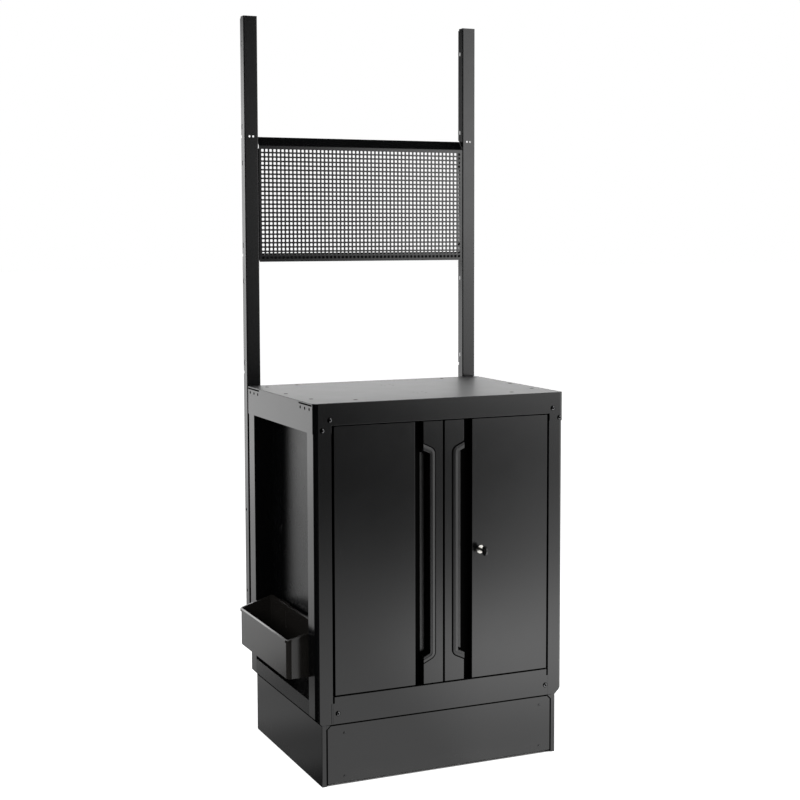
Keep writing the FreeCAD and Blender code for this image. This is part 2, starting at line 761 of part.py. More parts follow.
def make_door_liner(name, side):
    front = liner_front
    body = new_body(name)
    left, right = span(side, door_near + door_sheet + fit, door_far - door_sheet - fit)
    add(body, "XZ_Plane", front, front + door_sheet,
        box(left, door_low + door_sheet + fit, right, door_high - door_sheet - fit))
    corner = size("bush_length") + fit
    near_pin = span(side, hinge_across - size("bush_radius") - fit, door_far)
    cut(body, "XZ_Plane", front - overrun, front + door_sheet + overrun,
        box(near_pin[0], door_low - overrun, near_pin[1], door_low + corner),
        box(near_pin[0], door_high - corner, near_pin[1], door_high + overrun))
    if side > 0:
        cut(body, "XZ_Plane", front - overrun, front + door_sheet + overrun,
            Circle(lock_across(), size("lock_up"), size("barrel_radius") + fit))
    return body


def make_door_grip(name, side):
    strip_end = door_near + size("strip")
    body = new_body(name)
    raise_by = size("grip_raise")
    deep = size("channel_depth") - fit
    add(body, "XZ_Plane", door_front - raise_by, door_front, grip_outline(side, length(0), strip_end))
    chamfer_grip(body, side)
    width = size("grip_width")
    wall = width - size("grip_wall")
    add(body, "XZ_Plane", door_front, door_front + deep, grip_outline(side, wall, strip_end))
    cut(body, "XZ_Plane", door_front - raise_by - overrun, door_front + deep - size("grip_floor"),
        grip_outline(side, width, strip_end + overrun))
    return body


# The grip's face rises from a thin seam edge to its full height over its width less the land
def chamfer_grip(body, side):
    document.recompute()
    base = body.Tip
    front = (door_front - size("grip_raise")).value
    edge_line = door_across(side, door_near + size("strip")).value
    names = []
    for number, edge in enumerate(base.Shape.Edges, start=1):
        ends = [vertex.Point for vertex in edge.Vertexes]
        if all(abs(end.y - front) < tolerance for end in ends):
            if not all(abs(end.x - edge_line) < tolerance for end in ends):
                names.append(f"Edge{number}")
    feature = body.newObject("PartDesign::Chamfer", body.Name + "Chamfer")
    feature.Base = (base, names)
    feature.ChamferType = "Two distances"
    feature.setExpression("Size", (size("grip_raise") - size("grip_edge")).text)
    feature.setExpression("Size2", (size("grip_width") - size("grip_land")).text)


# Hinge pins: a head on the frame's flange and a shank into the door's bush
def make_hinge_pin(name, side, upper):
    across = door_across(side, hinge_across)
    body = new_body(name)
    radius = size("pin_radius")
    if upper:
        flange = opening_top
        add(body, "XY_Plane", door_high - size("pin_reach"), flange + gauge,
            Circle(across, hinge_along, radius))
        add(body, "XY_Plane", flange + gauge, flange + gauge + size("pin_head"),
            Circle(across, hinge_along, size("pin_collar")))
    else:
        add(body, "XY_Plane", rail_top - gauge, door_low + size("pin_reach"),
            Circle(across, hinge_along, radius))
        add(body, "XY_Plane", rail_top, door_low - fit, Circle(across, hinge_along, size("pin_collar")))
        add(body, "XY_Plane", rail_top - gauge - size("pin_head"), rail_top - gauge,
            Circle(across, hinge_along, size("pin_collar")))
    return body


def make_catch(name, side):
    body = new_body(name)
    left, right = span(side, size("catch_set") - size("catch_width") / 2,
                       size("catch_set") + size("catch_width") / 2)
    front = door_front + size("door_thick") + fit
    add(body, "XY_Plane", opening_top - size("catch_rise"), opening_top,
        box(left, front, right, front + size("catch_deep")))
    lug = size("catch_lug")
    add(body, "XY_Plane", opening_top - lug, opening_top,
        box(left + lug, front - size("catch_tab"), right - lug, front + size("catch_deep")))
    return body


# Lock: ring and barrel through the door, a nut behind the skin, a turning plug with its cam
def lock_across():
    return middle + size("lock_across")


def make_lock_barrel():
    body = new_body("lock_barrel")
    back = door_front + size("door_thick") + fit
    across, up = lock_across(), size("lock_up")
    add(body, "XZ_Plane", door_front - size("lock_ring"), door_front,
        Circle(across, up, size("lock_ring_radius")))
    add(body, "XZ_Plane", door_front, back, Circle(across, up, size("barrel_radius")))
    cut(body, "XZ_Plane", door_front - size("lock_ring") - overrun, back + overrun,
        Circle(across, up, size("plug_bore") + fit))
    return body


# Half the side of a hexagon, as a share of half its width across flats
hexagon_share = 0.5774


def make_lock_nut():
    body = new_body("lock_nut")
    across, up = lock_across(), size("lock_up")
    front = door_front + door_sheet
    flat = size("nut_across") / 2
    corner = flat * hexagon_share
    outline = [(across + corner, up + flat), (across + corner * 2, up), (across + corner, up - flat),
               (across - corner, up - flat), (across - corner * 2, up), (across - corner, up + flat)]
    add(body, "XZ_Plane", front, front + size("nut_thick"), outline)
    cut(body, "XZ_Plane", front - overrun, front + size("nut_thick") + overrun,
        Circle(across, up, size("barrel_radius") + fit))
    return body


def cam_front():
    return door_front + size("door_thick") + fit * 2


def make_lock_plug():
    body = new_body("lock_plug")
    across, up = lock_across(), size("lock_up")
    front = door_front - size("lock_ring") - fit
    add(body, "XZ_Plane", front, cam_front(), Circle(across, up, size("plug_bore")))
    half = size("key_blade_thick") / 2 + fit
    tall = size("key_blade_wide") / 2 + fit
    cut(body, "XZ_Plane", front - overrun, front + size("key_reach") + fit,
        box(across - half, up - tall, across + half, up + tall))
    return body


def upper_rod_front():
    return cam_front() + size("cam_thick") + fit


def lower_rod_front():
    return upper_rod_front() + size("rod_thick") + fit


def make_lock_cam():
    body = new_body("lock_cam")
    across, up = lock_across(), size("lock_up")
    front = cam_front()
    back = front + size("cam_thick")
    reach = size("cam_length") / 2
    half = size("cam_width") / 2
    add(body, "XZ_Plane", front, back, box(across - reach, up - half, across + reach, up + half))
    ends = [(across - reach, up - half), (across - reach, up + half),
            (across + reach, up - half), (across + reach, up + half)]
    round_edges(body, "y", half - fit, ends)
    throw = size("stud_throw")
    add(body, "XZ_Plane", back, upper_rod_front() + size("rod_thick"),
        Circle(across + throw, up, size("stud_radius")))
    add(body, "XZ_Plane", back, lower_rod_front() + size("rod_thick"),
        Circle(across - throw, up, size("stud_radius")))
    return body


def rod_across(upper):
    throw = size("stud_throw") / 2
    return lock_across() + throw if upper else lock_across() - throw


def make_rod(name, upper):
    body = new_body(name)
    across, up = rod_across(upper), size("lock_up")
    front = upper_rod_front() if upper else lower_rod_front()
    back = front + size("rod_thick")
    half = size("rod_width") / 2
    foot = size("rod_foot") / 2
    tall = size("rod_foot_rise") / 2
    side = 1 if upper else -1
    end = door_high - size("rod_ends") if upper else door_low + size("rod_ends")
    outline = [(across - foot, up - tall * side), (across + foot, up - tall * side),
               (across + foot, up + tall * side), (across + half, up + tall * side),
               (across + half, end), (across - half, end),
               (across - half, up + tall * side), (across - foot, up + tall * side)]
    add(body, "XZ_Plane", front, back, outline)
    slot = size("rod_slot_rise") / 2
    reach = size("stud_throw") / 2 + size("stud_radius") + size("rod_gap") / 2
    cut(body, "XZ_Plane", front - overrun, back + overrun,
        box(across - reach, up - slot, across + reach, up + slot))
    return body


def make_rod_guide(name, upper):
    body = new_body(name)
    front = upper_rod_front() if upper else lower_rod_front()
    wall = size("guide_wall")
    across = rod_across(upper)
    half = size("rod_width") / 2 + fit
    up = door_high - size("guide_set") if upper else door_low + size("guide_set")
    low, high = up - size("guide_rise"), up + size("guide_rise")
    back = front + size("rod_thick") + fit
    add(body, "XY_Plane", low, high,
        box(across - half - wall, liner_back, across + half + wall, back + wall))
    cut(body, "XY_Plane", low - overrun, high + overrun,
        box(across - half, front - fit, across + half, back))
    return body


# The key's bow is flattened where the blade leaves it
def key_seat():
    return door_front - size("key_stand") + size("key_bow_radius") - fit


def make_key_blade():
    body = new_body("key_blade")
    across, up = lock_across(), size("lock_up")
    half = size("key_blade_thick") / 2
    tall = size("key_blade_wide") / 2
    back = door_front - size("lock_ring") - fit + size("key_reach")
    add(body, "XZ_Plane", key_seat(), back, box(across - half, up - tall, across + half, up + tall))
    return body


def make_key_bow():
    body = new_body("key_bow")
    across, up = lock_across(), size("lock_up")
    half = size("key_bow_thick") / 2
    along = door_front - size("key_stand")
    add(body, "YZ_Plane", across - half, across + half, Circle(along, up, size("key_bow_radius")))
    cut(body, "YZ_Plane", across - half - overrun, across + half + overrun,
        Circle(along - size("key_bow_radius") / 2, up, size("key_hole_radius")))
    cut(body, "XZ_Plane", key_seat(), key_seat() + overrun,
        box(across - half - fit, up - half, across + half + fit, up + half))
    return body


# Uprights: channels open to the back, with hook slots, notches and holes
def make_upright(name, side):
    body = new_body(name)
    centre = upright_middle(side)
    half = size("upright_face") / 2
    thick = size("upright_gauge")
    back = upright_front + size("upright_deep")
    path = [(centre - half, back), (centre - half, upright_front), (centre + half, upright_front),
            (centre + half, back)]
    add(body, "XY_Plane", size("upright_low"), size("upright_high"), folded(path, thick, 1))
    round_edges(body, "z", size("upright_bend"),
                [(centre - half, upright_front), (centre + half, upright_front)])
    along = upright_front + size("slot_back")
    wide = size("slot_wide") / 2
    tall = (size("slot_rise") - size("slot_wide")) / 2
    shapes = []
    ends = []
    for bay in (-1, 0, 1):
        level = size("bay_up") + size("bay_pitch") * bay
        for end in (-1, 1):
            up = level + size("slot_spread") * end / 2
            shapes.append(box(along - wide, up - tall, along + wide, up + tall))
            ends += [Circle(along, up - tall, wide), Circle(along, up + tall, wide)]
    for bay in (-2, -1, 0, 1):
        up = size("bay_up") + size("bay_pitch") * bay + size("notch_shift")
        rise = size("notch_rise") / 2
        shapes.append(box(back - size("notch_deep"), up - rise, back + overrun, up + rise))
    for up in ("side_hole_low", "side_hole_high"):
        shapes.append(Circle(along, size(up), size("side_hole_radius")))
    for group in (shapes, ends):
        cut(body, "YZ_Plane", centre - half - overrun, centre + half + overrun, *group)
    up = size("bay_up") + size("notch_shift")
    spread = size("face_hole_spread") / 2
    holes = [Circle(centre + spread * step, up, size("face_hole_radius")) for step in (-1, 1)]
    bolts = [Circle(centre, level, size("bolt_radius") + fit) for level in bolt_levels]
    cut(body, "XZ_Plane", upright_front - overrun, upright_front + thick + overrun, *holes, *bolts)
    return body


# Bolt with its spacer collar between the cabinet's back and the upright
def make_upright_bolt(name, side, up):
    body = new_body(name)
    across = upright_middle(side)
    web = upright_front + size("upright_gauge")
    tip = post_back - gauge - size("bolt_end")
    add(body, "XZ_Plane", tip, web, Circle(across, up, size("bolt_radius")))
    add(body, "XZ_Plane", web, web + size("bolt_head"), Circle(across, up, size("bolt_head_radius")))
    add(body, "XZ_Plane", post_back, upright_front, Circle(across, up, size("spacer_radius")))
    return body


# Panel between the uprights: a face with an inclined lip at both ends and two side flanges
def make_board():
    body = new_body("perforated_panel")
    half = board_half
    low = size("bay_up") - size("board_rise") / 2
    high = size("bay_up") + size("board_rise") / 2
    run, rise = size("board_lip_run"), size("board_lip_rise")
    thick = size("board_gauge")
    path = [(upright_front + run, low + rise), (upright_front, low), (upright_front, high),
            (upright_front + run, high + rise)]
    add(body, "YZ_Plane", -half, half, folded(path, thick, -1))
    end = size("board_side_end")
    for side in (-1, 1):
        left, right = sorted([half * side, (half - thick) * side], key=lambda item: item.value)
        add(body, "YZ_Plane", left, right,
            box(upright_front + thick / 2, low + end, upright_front + size("board_side"), high - end))
    spots = [Circle(upright_front + size("slot_back"), size("bay_up") + size("slot_spread") * level / 2,
                    size("board_screw_radius") + fit) for level in (-1, 1)]
    cut(body, "YZ_Plane", -half - overrun, half + overrun, *spots)
    holes = [Circle(size("board_hole_set") * side, high + rise / 2, size("board_hole_radius"))
             for side in (-1, 1)]
    cut(body, "XZ_Plane", upright_front + thick, upright_front + run + overrun, *holes)
    return body


def make_board_screw(name, side, level):
    body = new_body(name)
    along = upright_front + size("slot_back")
    up = size("bay_up") + size("slot_spread") * level / 2
    face = board_half - size("board_gauge")
    flange = half_width - size("upright_set") - size("upright_face") + size("upright_gauge")
    tip = flange + size("board_screw_end")
    top = face - size("board_screw_rise")
    for end, radius in ((tip, "board_screw_radius"), (top, "board_screw_head")):
        low, high = sorted([face * side, end * side], key=lambda item: item.value)
        add(body, "YZ_Plane", low, high, Circle(along, up, size(radius)))
    return body


# Side bin: a rounded tray whose ends rise to a taller back, with two hooks over the hanger
def bin_outline(grow):
    out = -half_width - size("bin_out")
    back = -half_width + size("bin_in")
    centre = (recess_front + recess_back) / 2
    half = size("bin_length") / 2
    return rounded_box(out - grow, centre - half - grow, back + grow, centre + half + grow,
                       size("bin_round") + grow, size("bin_back_round") + grow)


def make_bin():
    body = new_body("side_bin")
    low = size("bin_low")
    out = -half_width - size("bin_out")
    back = -half_width + size("bin_in")
    high_out = low + size("bin_rise")
    high_back = low + size("bin_back_rise")
    rim = size("bin_rim")
    drop = size("bin_rim_rise")
    wall = size("bin_wall")
    top = high_back + drop
    slope = (high_back - high_out).value / (back - out).value
    far = half_depth
    past = rim + overrun
    add(body, "XY_Plane", low, top, bin_outline(rim))
    cut(body, "XZ_Plane", -far, far,
        [(out - past, low - overrun), (back + past, low - overrun),
         (back + past, high_back - drop + past * slope), (out - past, high_out - drop - past * slope)])
    add(body, "XY_Plane", low, top, bin_outline(length(0)))
    cut(body, "XZ_Plane", -far, far,
        [(out - past, high_out - past * slope), (back + past, high_back + past * slope),
         (back + past, top + overrun), (out - past, top + overrun)])
    cut(body, "XY_Plane", low + wall, top + overrun, bin_outline(-wall))
    add_hooks(body, back, high_back, (recess_front + recess_back) / 2)
    return body


def add_hooks(body, back, high, centre):
    thick = size("hook_thick")
    leg = recess_face - size("hook_back")
    start = back - size("bin_wall") / 2
    half = size("hook_width") / 2
    for side in (-1, 1):
        along = centre + size("hook_spread") * side / 2
        tip = high - size("hook_drop")
        hook = [(start, high - thick), (leg - thick, high - thick), (leg - thick, tip),
                (leg, tip), (leg, high), (start, high)]
        add(body, "XZ_Plane", along - half, along + half, hook)


def make_hanger():
    body = new_body("bin_hanger")
    thick = size("hanger_thick")
    top = size("bin_low") + size("bin_back_rise") - size("hook_thick") - fit
    shelf = top - size("hanger_lip")
    lip = recess_face - size("hanger_stand")
    centre = (recess_front + recess_back) / 2
    half = size("hanger_length") / 2
    outline = [(recess_face, shelf - size("hanger_foot")), (recess_face, shelf),
               (lip + thick, shelf), (lip + thick, top), (lip, top), (lip, shelf - thick),
               (recess_face - thick, shelf - thick), (recess_face - thick, shelf - size("hanger_foot"))]
    add(body, "XZ_Plane", centre - half, centre + half, outline)
    return body


make_plinth_side("plinth_side_left", -1)
make_plinth_side("plinth_side_right", 1)
make_plinth_back()
make_plinth_cover()
make_plinth_beam()
make_plinth_tie()
make_post_front_left()
make_post_rear_left()
make_post_front_right()
make_post_rear_right()
make_sill()
make_recess_head()
make_recess_wall()
make_wall_plug()
make_side_panel()
make_back_panel()
make_bottom_rail()
make_floor_pan()
make_cap_frame()
make_worktop()
make_shelf()
for side, word in ((-1, "left"), (1, "right")):
    for along, end in zip(clip_spots(), ("front", "rear")):
        make_shelf_clip(f"shelf_clip_{word}_{end}", side, along)
    make_door_skin(f"door_skin_{word}", side)
    make_door_liner(f"door_liner_{word}", side)
    make_door_grip(f"door_grip_{word}", side)
    make_hinge_pin(f"hinge_pin_{word}_upper", side, True)
    make_hinge_pin(f"hinge_pin_{word}_lower", side, False)
    make_catch(f"door_catch_{word}", side)
    make_upright(f"upright_{word}", side)
    make_upright_bolt(f"upright_bolt_{word}_lower", side, bolt_levels[0])
    make_upright_bolt(f"upright_bolt_{word}_upper", side, bolt_levels[1])
    make_board_screw(f"panel_screw_{word}_lower", side, -1)
    make_board_screw(f"panel_screw_{word}_upper", side, 1)
make_lock_barrel()
make_lock_nut()
make_lock_plug()
make_lock_cam()
make_rod("lock_rod_upper", True)
make_rod("lock_rod_lower", False)
make_rod_guide("rod_guide_upper", True)
make_rod_guide("rod_guide_lower", False)
make_key_blade()
make_key_bow()
make_board()
make_hanger()
make_bin()

document.recompute()


def check_document():
    faults = []
    for item in document.Objects:
        if "Invalid" in item.State or "Error" in item.State:
            faults.append(f"{item.Name} is {item.State}")
        elif item.TypeId == "PartDesign::Pocket":
            before = item.BaseFeature.Shape
            if before.isNull() or item.Shape.Volume > before.Volume - tolerance:
                faults.append(f"{item.Name} cuts nothing")
    if faults:
        raise RuntimeError(", ".join(faults))


def write_parts():
    os.makedirs("parts", exist_ok=True)
    bodies = [item for item in document.Objects if item.TypeId == "PartDesign::Body"]
    for body in bodies:
        shape = body.Shape
        if shape.isNull() or not shape.isValid():
            raise RuntimeError(f"{body.Label} has a bad shape")
        if len(shape.Solids) != 1:
            raise RuntimeError(f"{body.Label} has {len(shape.Solids)} solids")
        shape.exportStep(f"parts/{body.Label}.step")
    print(len(bodies), "pieces")


check_document()
write_parts()
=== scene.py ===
import json
import math

import bmesh
import bpy
from mathutils import Matrix, Vector


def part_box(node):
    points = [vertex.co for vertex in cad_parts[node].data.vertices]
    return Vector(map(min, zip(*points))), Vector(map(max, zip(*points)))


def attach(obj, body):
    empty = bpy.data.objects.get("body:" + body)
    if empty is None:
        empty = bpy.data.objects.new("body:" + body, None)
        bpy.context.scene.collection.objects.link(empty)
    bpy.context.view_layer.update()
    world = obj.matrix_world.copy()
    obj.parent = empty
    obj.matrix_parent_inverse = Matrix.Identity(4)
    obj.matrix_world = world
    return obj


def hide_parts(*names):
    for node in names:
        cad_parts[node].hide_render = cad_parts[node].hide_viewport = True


# Base cabinet with a side bin, two uprights and a perforated panel.
# Metres, in the CAD frame: +X right, -Y front, +Z up, origin on the floor.

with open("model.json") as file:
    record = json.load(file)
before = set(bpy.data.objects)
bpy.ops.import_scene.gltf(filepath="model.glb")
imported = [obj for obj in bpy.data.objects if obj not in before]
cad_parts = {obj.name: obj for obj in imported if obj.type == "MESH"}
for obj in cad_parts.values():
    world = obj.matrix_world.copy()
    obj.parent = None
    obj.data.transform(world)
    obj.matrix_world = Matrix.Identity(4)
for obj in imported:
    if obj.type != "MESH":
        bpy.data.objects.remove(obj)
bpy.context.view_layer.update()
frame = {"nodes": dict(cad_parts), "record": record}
nodes = frame["nodes"]
print("frame loaded:", len(nodes), "nodes")


# A socket that can be added, scaled and so on; each sign adds a Math node
class Socket:
    def __init__(self, graph, socket):
        self.graph = graph
        self.socket = socket

    def math(self, operation, other=None, flipped=False):
        values = [self] if other is None else ([other, self] if flipped else [self, other])
        return self.graph.add("ShaderNodeMath", {"operation": operation}, dict(enumerate(values)))[0]

    def __add__(self, other): return self.math("ADD", other)
    def __radd__(self, other): return self.math("ADD", other, True)
    def __sub__(self, other): return self.math("SUBTRACT", other)
    def __rsub__(self, other): return self.math("SUBTRACT", other, True)
    def __mul__(self, other): return self.math("MULTIPLY", other)
    def __rmul__(self, other): return self.math("MULTIPLY", other, True)
    def __neg__(self): return self.math("MULTIPLY", -1.0)
    def __pow__(self, other): return self.math("POWER", other)
    def atLeast(self, level): return self.math("MAXIMUM", level)
    def bearing(self, other): return self.math("ARCTAN2", other)


# A node that was added; its outputs are read by name or number
class Step:
    def __init__(self, graph, node):
        self.graph = graph
        self.node = node

    def __getitem__(self, key):
        return Socket(self.graph, self.node.outputs[key])


class Graph:
    def __init__(self, tree):
        self.tree = tree

    # kind of node, its settings first, then the values or links of its inputs
    def add(self, kind, settings=None, inputs=None):
        node = self.tree.nodes.new(kind)
        for name, value in (settings or {}).items():
            if name == "stops":
                ramp = node.color_ramp.elements
                while len(ramp) < len(value):
                    ramp.new(0.5)
                for stop, (place, colour) in zip(ramp, value):
                    stop.position = place
                    stop.color = colour
            else:
                setattr(node, name, value)
        for name, value in (inputs or {}).items():
            for item in value if isinstance(value, list) else [value]:
                if isinstance(item, Socket):
                    self.tree.links.new(item.socket, node.inputs[name])
                else:
                    node.inputs[name].default_value = item
        return Step(self, node)

    # value that goes smoothly from one level to another; low may be above high
    def fade(self, value, low, high, first=0.0, last=1.0):
        return self.add("ShaderNodeMapRange", {"interpolation_type": "SMOOTHSTEP"},
                        {"Value": value, "From Min": low, "From Max": high,
                         "To Min": first, "To Max": last})["Result"]

    # inputs 6 and 7 and output 2 are the node's sockets for colours
    def mixColour(self, share, first, second):
        return self.add("ShaderNodeMix", {"data_type": "RGBA"},
                        {0: share, 6: first, 7: second})[2]

    def noise(self, place, scale, detail=2.0, roughness=0.5):
        return self.add("ShaderNodeTexNoise", {}, {"Vector": place, "Scale": scale,
                                                   "Detail": detail, "Roughness": roughness})["Fac"]


def startMaterial(name):
    material = bpy.data.materials.new(name)
    material.use_nodes = True
    tree = material.node_tree
    tree.nodes.clear()
    graph = Graph(tree)
    place = graph.add("ShaderNodeTexCoord")["Object"]
    return material, graph, place


def endMaterial(graph, shader):
    graph.add("ShaderNodeOutputMaterial", {}, {"Surface": shader["BSDF"]})


def grey(level):
    return (level, level, level, 1.0)


# Darker and lighter shade of a colour, as the two ends of a mix
def shades(colour, tones):
    return [tuple(part * tone for part in colour) + (1.0,) for tone in tones]


# Colour, roughness, and for the coats the share of wear and the shine, for the metals the bloom
finish = {
    "bodyCoat": ((0.0018, 0.0019, 0.0021), 0.16, 1.0, 0.5),
    # painted shade: the body's coat with less shine and more roughness, for the recess's wall and sill
    "recessShadeCoat": ((0.0018, 0.0019, 0.0021), 0.27, 0.5, 0.26),
    "innerCoat": ((0.022, 0.0225, 0.023), 0.32, 0.6, 0.5),
    "topCoat": ((0.012, 0.0122, 0.0126), 0.40, 0.7, 0.5),
    "binCoat": ((0.0125, 0.0116, 0.0106), 0.20, 0.8, 0.5),
    # painted shade: a dull black for the door gaps and channels, the grips' cups and seams, the sill's
    # underside and the hinge pins
    "paintedShadeCoat": ((0.0006, 0.0006, 0.0006), 0.62, 0.2, 0.03),
    # painted shade: a flat black without shine, laid in holes, sockets, slots and gaps where only shade is
    "paintedShadeBlack": ((0.0006, 0.0006, 0.0006), 0.7, 0.0, 0.0),
    "gripPlastic": ((0.0045, 0.0045, 0.0047), 0.20),
    "screwBlack": ((0.12, 0.12, 0.123), 0.06, 0.3),
    "zincPlate": ((0.60, 0.60, 0.57), 0.30, 0.6),
    "nickelPlate": ((0.72, 0.70, 0.66), 0.14, 0.2),
}

# Powder coat: a dark semi-gloss skin with orange peel, faint smears, fine scratches and floor dust
coat = {
    "broad": 2.6, "smear": 11.0, "grain": 340.0, "fine": 1500.0, "fineShare": 0.4, "tones": (0.93, 1.07),
    "stretch": (60.0, 60.0, 2.5), "lean": (0.2, 0.35, 0.0), "scratch": 6.0, "scratchLevel": (0.70, 0.76),
    "scratchTone": 0.014, "scratchMix": 0.3, "scratchRough": 0.1, "scratchDeep": 0.5,
    "dustHigh": 0.055, "dustLevel": (0.35, 0.7), "dustTone": 0.03, "dustMix": 0.3, "dustRough": 0.25,
    "smearRough": 0.06, "peel": 0.07, "peelDeep": 0.00025, "ior": 1.5,
}


def powderCoat(name):
    colour, roughness, wear, shine = finish[name]
    material, graph, place = startMaterial(name)
    broad = graph.noise(place, coat["broad"], 3.0)
    smear = graph.noise(place, coat["smear"], 4.0, 0.6)
    grain = graph.noise(place, coat["grain"], 2.0)
    fine = graph.noise(place, coat["fine"], 1.0)
    stretched = graph.add("ShaderNodeMapping", {"vector_type": "POINT"},
                          {"Vector": place, "Scale": coat["stretch"], "Rotation": coat["lean"]})["Vector"]
    scratch = graph.fade(graph.noise(stretched, coat["scratch"], 2.0, 0.7), *coat["scratchLevel"]) * wear
    height = graph.add("ShaderNodeSeparateXYZ", {}, {"Vector": place})["Z"]
    dust = graph.fade(height, coat["dustHigh"], 0.0) * graph.fade(smear, *coat["dustLevel"]) * wear
    tone = graph.mixColour(broad, *shades(colour, coat["tones"]))
    tone = graph.mixColour(scratch * coat["scratchMix"], tone, grey(coat["scratchTone"]))
    tone = graph.mixColour(dust * coat["dustMix"], tone, grey(coat["dustTone"]))
    rough = (roughness - coat["smearRough"] / 2) + smear * coat["smearRough"]
    rough = rough + scratch * coat["scratchRough"] + dust * coat["dustRough"]
    peel = grain + fine * coat["fineShare"] - scratch * coat["scratchDeep"]
    bump = graph.add("ShaderNodeBump", {}, {"Strength": coat["peel"], "Distance": coat["peelDeep"],
                                            "Height": peel})["Normal"]
    shader = graph.add("ShaderNodeBsdfPrincipled", {}, {
        "Base Color": tone, "Roughness": rough, "IOR": coat["ior"], "Specular IOR Level": shine,
        "Normal": bump})
    endMaterial(graph, shader)
    return material


# Moulded plastic: dark, with a fine spark-eroded grain
plastic = {"cells": 1300.0, "grain": 0.35, "deep": 0.0002, "rub": 45.0, "rubRough": 0.1,
           "tones": (0.85, 1.25)}


def mouldedPlastic(name):
    colour, roughness = finish[name]
    material, graph, place = startMaterial(name)
    cells = graph.add("ShaderNodeTexVoronoi", {"feature": "F1"},
                      {"Vector": place, "Scale": plastic["cells"]})["Distance"]
    rub = graph.noise(place, plastic["rub"], 3.0)
    tone = graph.mixColour(rub, *shades(colour, plastic["tones"]))
    bump = graph.add("ShaderNodeBump", {}, {"Strength": plastic["grain"], "Distance": plastic["deep"],
                                            "Height": cells})["Normal"]
    rough = roughness - plastic["rubRough"] / 2 + rub * plastic["rubRough"]
    shader = graph.add("ShaderNodeBsdfPrincipled", {}, {
        "Base Color": tone, "Roughness": rough, "Normal": bump})
    endMaterial(graph, shader)
    return material


# Plated metal: zinc or nickel, with turning marks and a cloudy bloom
metal = {"cloud": 160.0, "cloudRough": 0.12, "tones": (1.0, 0.6), "marks": 2600.0, "grain": 0.12,
         "deep": 0.0001}


def platedMetal(name):
    colour, roughness, bloom = finish[name]
    material, graph, place = startMaterial(name)
    cloud = graph.noise(place, metal["cloud"], 4.0, 0.6)
    marks = graph.noise(place, metal["marks"], 1.0)
    tone = graph.mixColour(cloud * bloom, *shades(colour, metal["tones"]))
    bump = graph.add("ShaderNodeBump", {}, {"Strength": metal["grain"], "Distance": metal["deep"],
                                            "Height": marks + cloud})["Normal"]
    shader = graph.add("ShaderNodeBsdfPrincipled", {}, {
        "Base Color": tone, "Metallic": 1.0, "Roughness": roughness + cloud * metal["cloudRough"],
        "Normal": bump})
    endMaterial(graph, shader)
    return material


bodyCoat = powderCoat("bodyCoat")
recessShadeCoat = powderCoat("recessShadeCoat")
innerCoat = powderCoat("innerCoat")
topCoat = powderCoat("topCoat")
binCoat = powderCoat("binCoat")
# painted shade: the dull black for gaps, channels, cups, seams and pins
paintedShadeCoat = powderCoat("paintedShadeCoat")
# painted shade: the flat black laid where only shade is
paintedShadeBlack = powderCoat("paintedShadeBlack")
gripPlastic = mouldedPlastic("gripPlastic")
screwBlack = platedMetal("screwBlack")
zincPlate = platedMetal("zincPlate")
nickelPlate = platedMetal("nickelPlate")
print("finishes made")

slotFinish = {"paint": bodyCoat, "top_paint": topCoat, "bin_paint": binCoat, "black_plastic": gripPlastic,
              "zinc": zincPlate, "chrome": nickelPlate, "nickel": nickelPlate}
slotOf = {entry["node"]: entry["material_slot"] for entry in frame["record"]["subparts"]}
bodyOf = {node: body for body, names in frame["record"]["behaviour"]["bodies"].items() for node in names}

# Pieces whose own finish differs from that of their slot: duller inside the recess as painted
# shade, paler inside the cabinet, and a dull black on the pins as painted shade in the gaps
ownFinish = {"recess_wall": recessShadeCoat, "recess_sill": recessShadeCoat}
for name in ("back_panel", "floor_pan", "shelf", "door_liner_left", "door_liner_right"):
    ownFinish[name] = innerCoat
for side in ("left", "right"):
    for level in ("lower", "upper"):
        # painted shade: the pins take the dull black, as they sit in the gaps' shade
        ownFinish[f"hinge_pin_{side}_{level}"] = paintedShadeCoat


def finishOf(name):
    return ownFinish.get(name, slotFinish[slotOf[name]])


for name, item in nodes.items():
    for slot in item.material_slots:
        slot.material = finishOf(name)


def meshOf(shape, name):
    mesh = bpy.data.meshes.new(name)
    shape.to_mesh(mesh)
    shape.free()
    return mesh


def newObject(name, mesh, material):
    item = bpy.data.objects.new(name, mesh)
    bpy.context.scene.collection.objects.link(item)
    if material and not mesh.materials:
        mesh.materials.append(material)
    return item


def smooth(mesh, angle=35.0):
    mesh.polygons.foreach_set("use_smooth", [True] * len(mesh.polygons))
    mesh.set_sharp_from_angle(angle=math.radians(angle))


# Flat faces stay flat beside rounded edges: each corner leans to its largest face
def settleNormals(item):
    modifier = item.modifiers.new("normals", "WEIGHTED_NORMAL")
    modifier.keep_sharp = True
    modifier.weight = 100
    depsgraph = bpy.context.evaluated_depsgraph_get()
    mesh = bpy.data.meshes.new_from_object(item.evaluated_get(depsgraph), depsgraph=depsgraph)
    item.modifiers.clear()
    item.data = mesh


